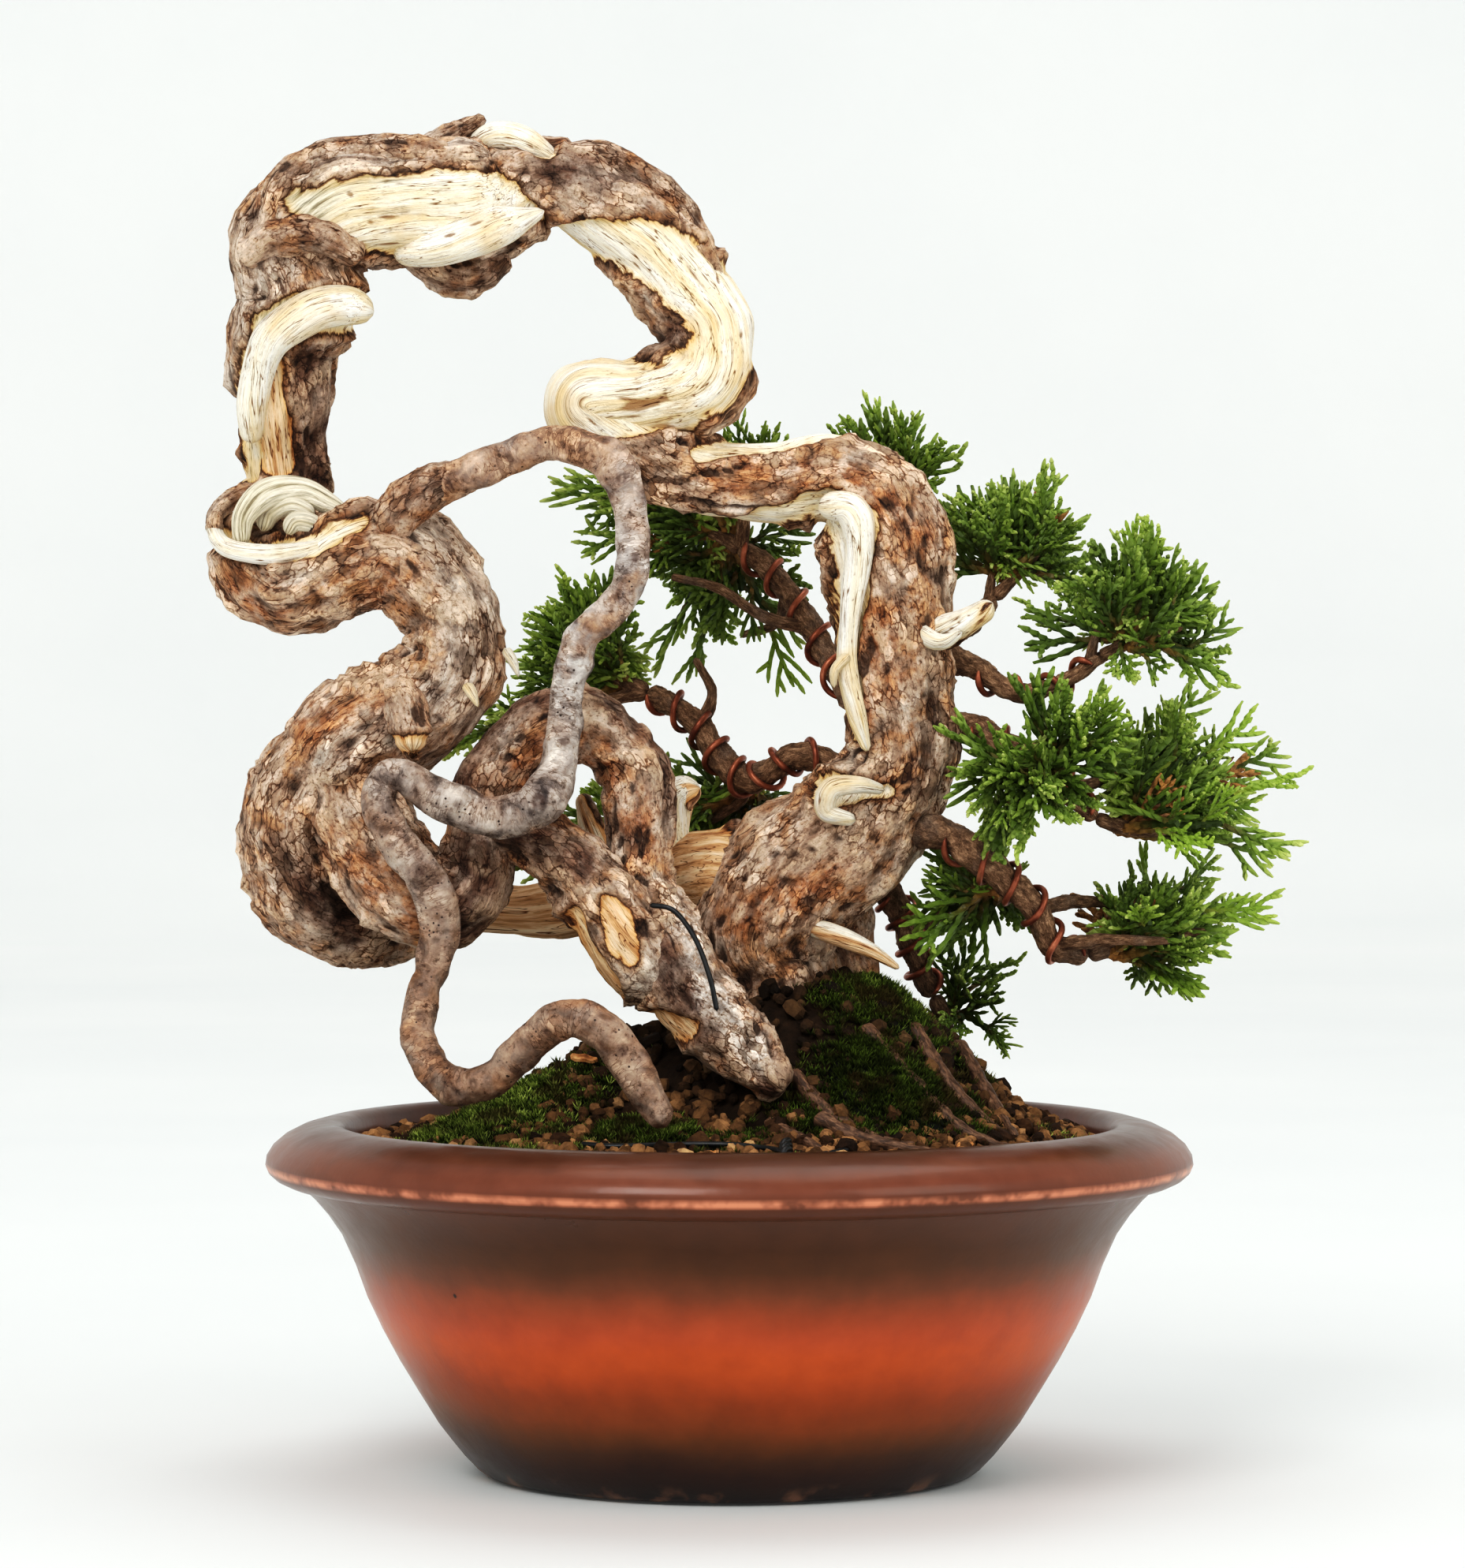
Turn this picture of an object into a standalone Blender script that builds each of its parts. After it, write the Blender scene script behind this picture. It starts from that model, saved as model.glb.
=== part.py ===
"""A small juniper bonsai in a round glazed bowl, built at life size in metres, +Z up."""

import math
import random

import bmesh
import bpy
import numpy as np
from mathutils import Matrix, Vector

for old in list(bpy.data.objects):
    bpy.data.objects.remove(old, do_unlink=True)

MM = 0.001
GAP = 0.3  # clear space between touching pieces, in mm

# Bowl, in mm: (radius, height) up the outside, over the rolled rim and down the inside.
BOWL_OUTSIDE = [
    (40.9, 0.0), (42.2, 0.6), (44.6, 3.2), (48.8, 8.5), (52.1, 13.8), (55.3, 19.1),
    (58.1, 24.3), (60.7, 29.6), (62.3, 34.9), (65.0, 40.2), (67.2, 43.1), (69.8, 46.4),
    (71.5, 48.0), (74.6, 48.9), (76.8, 50.2), (77.5, 51.8), (77.0, 53.6), (75.2, 55.6),
    (72.0, 57.4), (68.2, 58.4), (65.4, 58.5), (64.2, 57.6),
]
BOWL_INSIDE = [
    (63.6, 52.0), (61.5, 44.0), (57.4, 35.0), (54.0, 27.0), (49.5, 17.0), (44.0, 8.5),
    (38.0, 5.0),
]
BOWL_SIDES = 48
FLOOR_TOP = 5.0
DRAIN_RADIUS = 6.0
DRAIN_RING = 20.0  # the drain holes' distance from the middle
DRAIN_ANGLES = (94.0, 214.0, 334.0)

# Soil and moss, in mm.
SOIL_EDGE_TOP = 54.4
MOUND_X, MOUND_Y, MOUND_RISE = 16.0, 6.0, 25.5
SCREEN_RADIUS, SCREEN_THICK = 9.0, 0.8

# Every strand below is a list of (x, y, z, radius) in mm along its middle.
TRUNK_MAIN = [
    (8, 12, 62, 12.5), (7, 11, 72, 12.8), (6, 10, 82, 12.4), (5, 8, 90, 12.6),
    (11, 5, 99, 11.9), (22, 3, 108, 10.7), (29, 1, 119, 8.4), (28, 0, 132, 9.0),
    (27, 0, 146, 9.9), (25, 0, 158, 9.9), (19, 1, 165, 7.8), (8, 1, 165, 6.6),
    (-5, -1, 166, 6.3), (-15, -3, 171, 6.3), (-24, -4, 178, 6.6), (-14, -4, 179, 6.4),
    (-5, -3, 182, 7.4), (-3, -1, 190, 6.9), (-8, 2, 198, 7.7), (-13, 3, 205, 7.9),
    (-19, 3, 210, 7.7), (-25, 3, 214, 6.9), (-32, 3, 216, 6.4), (-38, 3, 213, 8.6),
    (-44, 2, 212, 10.2), (-55, 0, 212, 9.9), (-65, 0, 211, 10.3), (-73, 2, 205, 9.6),
    (-72, 3, 196, 10.4), (-75, 5, 188, 8.8), (-75, 6, 179, 7.4), (-75, 9, 170, 6.7),
    (-75, 9, 160, 6.9), (-79, 4, 152, 7.4), (-73, -3, 148, 7.5), (-63, -6, 152, 8.5),
    (-55, -7, 153, 8.3), (-47, -7, 144, 7.7), (-46, -8, 135, 7.9), (-52, -9, 128, 8.8),
    (-62, -10, 122, 9.8), (-70, -9, 114, 9.6),
]
TRUNK_OUTER = [
    (-70, -9, 115, 7.2), (-75, -6, 105, 6.2), (-72, -3, 96, 6.4), (-65, 2, 91, 5.9),
    (-55, 9, 91, 5.3), (-45, 12, 94, 4.7), (-35, 12, 93, 4.5), (-25, 11, 94, 5.3),
    (-14, 10, 98, 6.3), (-3, 8, 99, 8.0), (5, 6, 95, 10.0),
]
TRUNK_INNER = [
    (-69, -10, 116, 7.2), (-61, -13, 108, 6.8), (-55, -15, 100, 6.8), (-48, -15, 95, 6.2),
    (-43, -13, 99, 5.7), (-41, -10, 108, 5.5), (-38, -9, 116, 5.9), (-31, -9, 123, 5.6),
    (-23, -9, 124, 5.5), (-16, -10, 117, 5.5), (-15, -11, 108, 5.3), (-15, -13, 99, 5.2),
    (-12, -16, 90, 7.1), (-7, -19, 82, 7.2), (0, -22, 74, 6.1), (5, -25, 69, 4.4),
    (8, -27, 67, 2.3),
]
TRUNK_FRONT = [
    (-42, -9, 109, 3.9), (-34, -14, 107, 4.3), (-27, -17, 103, 4.8), (-21, -18, 96, 6.0),
    (-16, -18, 88, 6.8), (-10, -19, 81, 7.1),
]
TRUNK_BACK_ROOT = [(19, 8, 96, 5.0), (20, 11, 88, 4.0), (21, 13, 78, 4.0), (21, 14, 68, 3.6)]
TRUNK_STUBS = [
    [(-55, -12, 131, 3.2), (-53, -19, 127, 2.6), (-52, -21, 121, 1.9)],
    [(30, 0, 140, 3.2), (38, -6, 141, 2.6), (43, -9, 144, 1.3)],
    [(-11, 8, 101, 4.4), (-10, 8, 109, 3.5), (-8, 7, 114, 2.9), (-4, 6, 114, 2.4)],
    [(-21, 8, 97, 3.6), (-23, 6, 107, 2.7), (-25, 5, 114, 1.7)],
    [(-46, 2, 217, 4.0), (-43, 2, 223, 2.6), (-41, 1, 226, 1.1)],
]
TRUNK_VOXEL = 1.5
TRUNK_KEEP = 0.09

AERIAL_ROOT = [
    (-52, -18, 161, 2.6), (-45, -18, 165, 3.0), (-38, -18, 168, 3.0), (-30, -18, 171, 2.8),
    (-23, -20, 170, 3.0), (-18, -21, 166, 3.2), (-16, -21, 158, 3.0), (-16, -22, 150, 2.8),
    (-19, -22, 144, 2.8), (-24, -22, 139, 2.8), (-26, -22, 132, 2.8), (-27, -22, 125, 3.0),
    (-28, -24, 118, 3.2), (-31, -27, 112, 3.6), (-39, -27, 110, 3.3), (-47, -28, 113, 3.2),
    (-54, -28, 117, 2.8), (-57, -28, 113, 2.8), (-54, -29, 106, 2.8), (-49, -29, 100, 3.2),
    (-47, -28, 93, 3.2), (-48, -28, 86, 2.9), (-50, -30, 80, 2.7), (-50, -33, 73, 2.9),
    (-45, -36, 67, 3.0), (-38, -38, 68, 2.8), (-32, -40, 74, 3.2), (-26, -42, 78, 3.3),
    (-20, -43, 76, 3.4), (-16, -44, 71, 3.1), (-13, -45, 66, 2.8), (-10, -46, 61, 2.1),
]

BRANCHES = {
    "branch_back_upper": [
        (21, 12, 129, 2.1), (18, 20, 134, 2.2), (13, 26, 143, 2.0), (7, 31, 151, 1.8),
        (2, 35, 155, 1.6),
    ],
    "branch_back_middle": [
        (20, 16, 114, 2.3), (17, 17, 118, 2.3), (11, 18, 119, 2.2), (4, 22, 115, 2.2),
        (-1, 25, 118, 2.2), (-5, 28, 124, 2.0), (-10, 31, 128, 1.9), (-14, 34, 130, 1.8),
    ],
    "branch_right_upper": [
        (41.5, 0, 134, 1.8), (44, -2, 132, 1.7), (49, -2, 130, 1.6), (56, -1, 132, 1.3),
        (62, 0, 136, 1.2),
    ],
    "branch_right_top": [(40, 8, 141, 1.6), (42, 13, 143, 1.5), (45, 17, 146, 1.3)],
    "branch_right_middle": [
        (41.5, 0, 124, 2.0), (45, -4, 122, 1.8), (52, -6, 119, 1.7), (57, -6, 113, 1.6),
        (61, -5, 109, 1.3),
    ],
    "branch_right_lower": [
        (36.5, -3, 106, 2.6), (41, -6, 103, 2.6), (46, -6, 99, 2.4), (51, -5, 94, 2.2),
        (54, -3, 88, 2.0), (60, -1, 86, 1.7),
    ],
    "branch_low_back": [
        (26, 18, 97, 2.4), (29, 19, 93, 2.3), (31, 20, 87, 2.0), (33, 22, 82, 1.9),
        (35, 24, 78, 1.8),
    ],
    "branch_back_top": [(24, 11.5, 166, 1.5), (25, 16, 164, 1.4), (26, 21, 163, 1.2)],
}
WIRED = {
    "branch_back_upper": (1.5, 5.0),
    "branch_back_middle": (1.5, 8.0),
    "branch_right_upper": (2.0, 3.0),
    "branch_right_middle": (1.5, 4.0),
    "branch_right_lower": (1.5, 5.0),
    "branch_low_back": (1.5, 4.0),
}  # how far the wire starts and stops short of the ends in mm, and its turns
WIRE_RADIUS = 0.55

# Foliage: where each spray leaves its branch, then the tips of its shoots, in mm.
FOLIAGE = {
    "foliage_back_upper": ((0, 38, 157), [
        (5, 26, 182), (11, 28, 175), (1, 22, 177), (-4, 20, 173), (-31, 44, 165),
        (-28, 38, 168), (-25, 38, 161), (-26, 48, 157), (-13, 50, 146), (-10, 54, 154),
        (-12, 52, 136), (-6, 50, 132), (-3, 55, 141), (11, 42, 131),
    ]),
    "foliage_back_top": ((27, 24, 162), [
        (28, 26, 178), (33, 24, 173), (22, 30, 175), (34, 22, 167),
    ]),
    "foliage_back_middle": ((-17, 36, 131), [
        (-37, 36, 148), (-31, 42, 151), (-25, 36, 150), (-41, 32, 141), (-39, 42, 133),
        (-50, 32, 120), (-43, 28, 126), (-46, 40, 122), (-33, 48, 126), (-22, 28, 138),
    ]),
    "foliage_back_lower": ((4, 28.5, 113), [
        (-4, 36, 105), (1, 42, 106), (5, 34, 105), (-9, 40, 109), (-39, 34, 100),
        (-31, 42, 103), (-32, 38, 95), (-37, 28, 98),
    ]),
    "foliage_right_top": ((47, 19, 149), [
        (60, 16, 160), (56, 28, 162), (51, 34, 161), (45, 22, 161), (41, 14, 158),
        (62, 34, 156), (60, 22, 150), (39, 28, 159),
    ]),
    "foliage_right_upper": ((66, 0, 138), [
        (80, -8, 148), (81, 12, 140), (86, 4, 134), (74, 6, 154), (71, 16, 156),
        (62, -10, 149), (83, 24, 145), (75, -14, 134), (52, 9, 143), (69, 30, 141),
    ]),
    "foliage_right_front": ((52, -11, 118), [
        (37, -24, 114), (41, -22, 106), (47, -28, 109), (54, -16, 128), (61, -20, 124),
        (68, -14, 122), (52, -30, 107), (38, -15, 109),
    ]),
    "foliage_right_middle": ((64, -3, 107), [
        (96, 6, 114), (94, -6, 106), (90, 14, 124), (84, 0, 126), (80, 24, 130),
        (74, 10, 127), (94, 24, 119), (92, 12, 102), (90, 34, 112), (82, -18, 107),
        (79, 40, 119),
    ]),
    "foliage_right_lower": ((63.5, 0, 86), [
        (91, 2, 96), (84, -12, 90), (86, 8, 85), (78, -4, 82), (73, 14, 82),
        (91, 22, 91), (84, 28, 99), (74, -22, 94), (70, 30, 89),
    ]),
    "foliage_right_inner": ((45, 0, 97), [
        (33, 4, 94), (36, 12, 96), (44, 14, 91), (43, 24, 94), (40, 20, 101),
    ]),
    "foliage_sprig": ((38, 27, 75), [
        (39, 20, 85), (43, 26, 81), (43, 15, 79), (41, 17, 73), (49, 20, 69),
    ]),
}
SHOOT_RADII = (1.7, 3.5, 2.2)
SPRIG_RADII = (1.2, 1.7, 1.2)
FOLIAGE_VOXEL = 1.5
FOLIAGE_KEEP = 0.12


def pigment(name, colour, roughness, metallic=0.0):
    """A plain Principled material."""
    material = bpy.data.materials.new(name)
    material.use_nodes = True
    shader = material.node_tree.nodes["Principled BSDF"]
    shader.inputs["Base Color"].default_value = (*colour, 1.0)
    shader.inputs["Roughness"].default_value = roughness
    shader.inputs["Metallic"].default_value = metallic
    material.diffuse_color = (*colour, 1.0)
    return material


def piece(name, bm, material):
    """Turns a bmesh in mm into a named object in metres."""
    bmesh.ops.scale(bm, vec=(MM, MM, MM), verts=bm.verts)
    bmesh.ops.recalc_face_normals(bm, faces=bm.faces)
    mesh = bpy.data.meshes.new(name)
    bm.to_mesh(mesh)
    bm.free()
    thing = bpy.data.objects.new(name, mesh)
    bpy.context.collection.objects.link(thing)
    mesh.materials.append(material)
    return thing


def smooth_path(points, steps):
    """Points along a Catmull-Rom curve through the strand's points, radius included."""
    p = np.array(points, float)
    p = np.vstack([2 * p[0] - p[1], p, 2 * p[-1] - p[-2]])
    out = []
    for i in range(1, len(p) - 2):
        for k in range(steps):
            t = k / steps
            a, b, c, d = p[i - 1], p[i], p[i + 1], p[i + 2]
            out.append(
                0.5
                * (
                    2 * b
                    + (c - a) * t
                    + (2 * a - 5 * b + 4 * c - d) * t * t
                    + (3 * b - a - 3 * c + d) * t**3
                )
            )
    out.append(p[-2])
    return np.array(out)


def frames(path):
    """For each point along a path: the point, and two directions across it that don't twist."""
    spots = [Vector(q[:3]) for q in path]
    ahead = []
    for i in range(len(spots)):
        before = spots[max(i - 1, 0)]
        after = spots[min(i + 1, len(spots) - 1)]
        ahead.append((after - before).normalized())
    side = ahead[0].orthogonal().normalized()
    out = []
    for i, spot in enumerate(spots):
        if i:
            side = ahead[i - 1].rotation_difference(ahead[i]) @ side
            side = (side - ahead[i] * side.dot(ahead[i])).normalized()
        out.append((spot, side, ahead[i].cross(side)))
    return out


def tube(bm, points, sides, steps, lobes=0.0, twist=0.0):
    """A closed round tube along a strand, with rounded ends."""
    path = smooth_path(points, steps)
    spots = frames(path)
    rings = []
    for i, (spot, side, up) in enumerate(spots):
        r = path[i][3]
        ring = []
        for k in range(sides):
            a = math.tau * k / sides
            swell = 1.0 + lobes * math.cos(2 * (a + twist * i))
            ring.append(bm.verts.new(spot + (side * math.cos(a) + up * math.sin(a)) * r * swell))
        rings.append(ring)
    for low, high in zip(rings, rings[1:]):
        for k in range(sides):
            n = (k + 1) % sides
            bm.faces.new((low[k], low[n], high[n], high[k]))
    for end, ring in ((0, rings[0]), (-1, rings[-1])):
        spot = spots[end][0]
        nearby = spots[1][0] if end == 0 else spots[-2][0]
        tip = bm.verts.new(spot + (spot - nearby).normalized() * path[end][3] * 0.45)
        for k in range(sides):
            n = (k + 1) % sides
            if end == 0:
                bm.faces.new((ring[n], ring[k], tip))
            else:
                bm.faces.new((ring[k], ring[n], tip))


def melt(thing, voxel, keep):
    """Joins a piece's overlapping tubes into one skin and thins its faces."""
    remesh = thing.modifiers.new("one_skin", "REMESH")
    remesh.mode = "VOXEL"
    remesh.voxel_size = voxel * MM
    thin = thing.modifiers.new("fewer_faces", "DECIMATE")
    thin.ratio = keep
    thin.use_collapse_triangulate = True


def soil_height(x, y):
    """The height of the soil's top at a place, in mm."""
    r = math.hypot(x, y)
    flat = SOIL_EDGE_TOP + 2.6 * max(0.0, 1.0 - (r / 62.0) ** 2)
    u = (x - MOUND_X) / (26.0 if x > MOUND_X else 27.0)
    v = (y - MOUND_Y) / (27.0 if y < MOUND_Y else 30.0)
    hump = 12.0 * math.exp(-(((x + 23.0) / 17.0) ** 2 + (y / 20.0) ** 2))
    return flat + hump + MOUND_RISE * math.exp(-0.9 * (u * u + v * v) ** 1.35)


def lathe(bm, profile, sides):
    """A closed ring of faces round +Z from a closed profile whose ends meet on the axis."""
    rings = []
    for r, z in profile:
        if r < 1e-6:
            rings.append([bm.verts.new((0, 0, z))])
        else:
            rings.append([
                bm.verts.new((r * math.cos(math.tau * k / sides), r * math.sin(math.tau * k / sides), z))
                for k in range(sides)
            ])
    for low, high in zip(rings, rings[1:]):
        for k in range(sides):
            n = (k + 1) % sides
            corners = [low[k % len(low)], low[n % len(low)], high[n % len(high)], high[k % len(high)]]
            corners = list(dict.fromkeys(corners))
            bm.faces.new(corners)


def cutter(name, bm):
    """A tool for a Boolean, hidden from renders."""
    tool = piece(name, bm, glaze)
    tool.hide_render = True
    tool.display_type = "WIRE"
    return tool


def cut(thing, tool, name):
    boolean = thing.modifiers.new(name, "BOOLEAN")
    boolean.operation = "DIFFERENCE"
    boolean.solver = "EXACT"
    boolean.object = tool


# Materials
glaze = pigment("brown_glaze", (0.32, 0.08, 0.03), 0.25)
granules = pigment("soil_granules", (0.10, 0.05, 0.03), 0.95)
bark = pigment("juniper_bark", (0.30, 0.20, 0.14), 0.85)
root_bark = pigment("aerial_root_bark", (0.33, 0.28, 0.25), 0.75)
leaf = pigment("scale_leaves", (0.03, 0.12, 0.03), 0.55)
copper = pigment("copper_wire", (0.45, 0.14, 0.07), 0.35, 1.0)
black = pigment("black_wire", (0.02, 0.02, 0.02), 0.45)
moss = pigment("moss", (0.07, 0.16, 0.03), 0.95)
mesh_plastic = pigment("screen_plastic", (0.05, 0.05, 0.05), 0.6)
chip_wood = pigment("wood_chip", (0.55, 0.36, 0.20), 0.85)

# Bowl: one fired piece, with its drain holes cut through the floor
bm = bmesh.new()
lathe(bm, [(0, 0.0)] + BOWL_OUTSIDE + BOWL_INSIDE + [(0, FLOOR_TOP)], BOWL_SIDES)
bowl = piece("bowl", bm, glaze)
for i, angle in enumerate(DRAIN_ANGLES):
    a = math.radians(angle)
    place = Matrix.Translation((DRAIN_RING * math.cos(a), DRAIN_RING * math.sin(a), FLOOR_TOP / 2))
    place = place @ Matrix.Rotation(0.11, 4, "Z")
    bm = bmesh.new()
    bmesh.ops.create_cone(
        bm, cap_ends=True, segments=20, radius1=DRAIN_RADIUS, radius2=DRAIN_RADIUS, depth=14.0, matrix=place
    )
    cut(bowl, cutter(f"drain_cutter_{i + 1}", bm), f"drain_{i + 1}")

# Screens over the drain holes
screen_spots = []
for i, angle in enumerate(DRAIN_ANGLES):
    a = math.radians(angle)
    x, y = DRAIN_RING * math.cos(a), DRAIN_RING * math.sin(a)
    screen_spots.append((x, y))
    z = FLOOR_TOP + GAP + SCREEN_THICK / 2
    bm = bmesh.new()
    bmesh.ops.create_cone(
        bm, cap_ends=True, segments=20, radius1=SCREEN_RADIUS, radius2=SCREEN_RADIUS, depth=SCREEN_THICK,
        matrix=Matrix.Translation((x, y, z)),
    )
    piece(f"drain_screen_{i + 1}", bm, mesh_plastic)

# Soil: fills the bowl and rises to a mound under the trunk
bm = bmesh.new()
inside = [(r - 0.6, z) for r, z in BOWL_INSIDE]
inside[-1] = (inside[-1][0], FLOOR_TOP + GAP)
SIDES = 42
radii = [60.0, 55.0, 49.5, 44.0, 38.5, 33.0, 27.5, 22.0, 16.5, 11.0, 5.5]
rings = []
for r, z in reversed(inside[1:]):
    rings.append([(r * math.cos(math.tau * k / SIDES), r * math.sin(math.tau * k / SIDES), z) for k in range(SIDES)])
top_r = 62.7
for r in [top_r] + radii:
    ring = []
    for k in range(SIDES):
        x, y = r * math.cos(math.tau * k / SIDES), r * math.sin(math.tau * k / SIDES)
        ring.append((x, y, SOIL_EDGE_TOP if r == top_r else soil_height(x, y)))
    rings.append(ring)
made = [[bm.verts.new(spot) for spot in ring] for ring in rings]
bottom = bm.verts.new((0, 0, FLOOR_TOP + GAP))
middle = bm.verts.new((0, 0, soil_height(0, 0)))
for low, high in zip(made, made[1:]):
    for k in range(SIDES):
        n = (k + 1) % SIDES
        bm.faces.new((low[k], low[n], high[n], high[k]))
for k in range(SIDES):
    n = (k + 1) % SIDES
    bm.faces.new((made[0][n], made[0][k], bottom))
    bm.faces.new((made[-1][k], made[-1][n], middle))
soil = piece("soil", bm, granules)
for i, (x, y) in enumerate(screen_spots):
    bm = bmesh.new()
    bmesh.ops.create_cone(
        bm, cap_ends=True, segments=20, radius1=SCREEN_RADIUS + GAP, radius2=SCREEN_RADIUS + GAP, depth=4.0,
        matrix=Matrix.Translation((x, y, FLOOR_TOP + GAP + SCREEN_THICK + GAP - 2.0))
        @ Matrix.Rotation(0.07, 4, "Z"),
    )
    cut(soil, cutter(f"screen_cutter_{i + 1}", bm), f"screen_{i + 1}")
bm = bmesh.new()
tube(bm, [(x, y, z, r + 1.0) for x, y, z, r in TRUNK_MAIN[:5]], 16, 3)
cut(soil, cutter("trunk_socket", bm), "trunk_socket")
bm = bmesh.new()
tube(bm, [(x, y, z, r + 1.0) for x, y, z, r in TRUNK_BACK_ROOT + [(21, 15, 64, 3.6)]], 12, 3)
cut(soil, cutter("root_socket", bm), "root_socket")

# Trunk: living wood and bleached dead wood, all one grown piece
bm = bmesh.new()
tube(bm, TRUNK_MAIN, 14, 4)
tube(bm, TRUNK_OUTER, 12, 4)
tube(bm, TRUNK_INNER, 12, 4)
tube(bm, TRUNK_FRONT, 12, 4)
tube(bm, TRUNK_BACK_ROOT, 12, 4)
for stub in TRUNK_STUBS:
    tube(bm, stub, 10, 3)
trunk = piece("trunk", bm, bark)
melt(trunk, TRUNK_VOXEL, TRUNK_KEEP)

# Aerial root: a slender grey root looping down in front of the trunk
bm = bmesh.new()
tube(bm, AERIAL_ROOT, 9, 2)
piece("aerial_root", bm, root_bark)

# Branches, and the copper training wire wound on most of them
for name, points in BRANCHES.items():
    bm = bmesh.new()
    tube(bm, points, 9, 3)
    piece(name, bm, bark)
for name, (inset, turns) in WIRED.items():
    path = smooth_path(BRANCHES[name], 14)
    spots = frames(path)
    lengths = np.concatenate([[0], np.cumsum(np.linalg.norm(np.diff(path[:, :3], axis=0), axis=1))])
    keep = [i for i in range(len(path)) if inset <= lengths[i] <= lengths[-1] - inset]
    coil = []
    count = int(turns * 8)
    for j in range(count + 1):
        i = keep[round(j / count * (len(keep) - 1))]
        spot, side, up = spots[i]
        a = math.tau * turns * j / count
        r = path[i][3] + GAP + WIRE_RADIUS + 0.15
        at = spot + (side * math.cos(a) + up * math.sin(a)) * r
        coil.append((at.x, at.y, at.z, WIRE_RADIUS))
    bm = bmesh.new()
    tube(bm, coil, 5, 1)
    piece(name.replace("branch", "wire"), bm, copper)

# Foliage: each spray is a plain bundle of its shoots
for name, (base, tips) in FOLIAGE.items():
    radii = SPRIG_RADII if name == "foliage_sprig" else SHOOT_RADII
    bm = bmesh.new()
    for x, y, z in tips:
        start, end = Vector(base), Vector((x, y, z))
        middle_spot = start.lerp(end, 0.55) + Vector((0, 0, 0.06 * (end - start).length))
        tube(bm, [
            (*start, radii[0]),
            (*start.lerp(middle_spot, 0.5), radii[0] * 0.5 + radii[1] * 0.5),
            (*middle_spot, radii[1]),
            (*end, radii[2]),
        ], 8, 2)
    melt(piece(name, bm, leaf), FOLIAGE_VOXEL, FOLIAGE_KEEP)

# Moss cushions lying on the soil
rng = random.Random(5)
MOSS = {
    "moss_left": (-40, -14, 13, 14, 2.2),
    "moss_mound_front": (27, -21, 11, 8, 1.8),
    "moss_mound_top": (27, -3, 7, 6, 1.8),
    "moss_middle": (-14, -30, 9, 6, 1.6),
}
for name, (cx, cy, rx, ry, thick) in MOSS.items():
    bm = bmesh.new()
    count = 18
    wobble = [1.0 + 0.16 * rng.uniform(-1, 1) for _ in range(count)]
    under, over = [], []
    for part in (0.35, 0.7, 1.0):
        low, high = [], []
        for k in range(count):
            a = math.tau * k / count
            x = cx + rx * part * wobble[k] * math.cos(a)
            y = cy + ry * part * wobble[k] * math.sin(a)
            z = soil_height(x, y) + 0.8
            low.append(bm.verts.new((x, y, z)))
            high.append(bm.verts.new((x, y, z + 0.3 + thick * math.sqrt(max(0.0, 1 - part * part)))))
        under.append(low)
        over.append(high)
    low_mid = bm.verts.new((cx, cy, soil_height(cx, cy) + 0.6))
    high_mid = bm.verts.new((cx, cy, soil_height(cx, cy) + 0.9 + thick))
    for k in range(count):
        n = (k + 1) % count
        bm.faces.new((over[0][k], over[0][n], high_mid))
        bm.faces.new((under[0][n], under[0][k], low_mid))
        for a in (0, 1):
            bm.faces.new((over[a][n], over[a][k], over[a + 1][k], over[a + 1][n]))
            bm.faces.new((under[a][k], under[a][n], under[a + 1][n], under[a + 1][k]))
        bm.faces.new((over[2][n], over[2][k], under[2][k], under[2][n]))
    piece(name, bm, moss)

# Surface roots running down the front of the mound
SURFACE_ROOTS = {
    "surface_root_1": [(38, 2), (42, -6), (45, -14), (47, -22)],
    "surface_root_2": [(14, -30), (20, -35), (28, -39), (35, -42)],
}
for name, spots in SURFACE_ROOTS.items():
    bm = bmesh.new()
    strand = []
    for i, (x, y) in enumerate(spots):
        r = 1.7 - 0.25 * i
        strand.append((x, y, soil_height(x, y) + r + 1.3, r))
    tube(bm, strand, 8, 3)
    piece(name, bm, root_bark)

# Black wire: the anchor wire across the soil with its twisted end, and the tie on the front limb
bm = bmesh.new()
strand = []
for x, y in [(-24, -37), (-18, -39.5), (-8, -39), (0, -40), (7, -44)]:
    strand.append((x, y, soil_height(x, y) + 1.3, 0.5))
tube(bm, strand, 7, 4)
piece("anchor_wire", bm, black)
bm = bmesh.new()
z = soil_height(9, -49)
tube(bm, [(8.5, -47, z + 3.2, 1.1), (9, -49, z + 2.6, 1.1), (9.5, -52, z + 2.2, 1.0), (9.5, -55, z + 2.0, 0.9)],
     8, 5, lobes=0.3, twist=0.55)
piece("anchor_wire_twist", bm, black)
bm = bmesh.new()
tube(bm, [(-13, -24.2, 95, 0.45), (-9, -25.5, 94, 0.45), (-5, -27.3, 89, 0.45), (-3, -29.4, 83, 0.45),
          (-2, -29.8, 78.5, 0.45)], 7, 3)
piece("limb_tie", bm, black)

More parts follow.
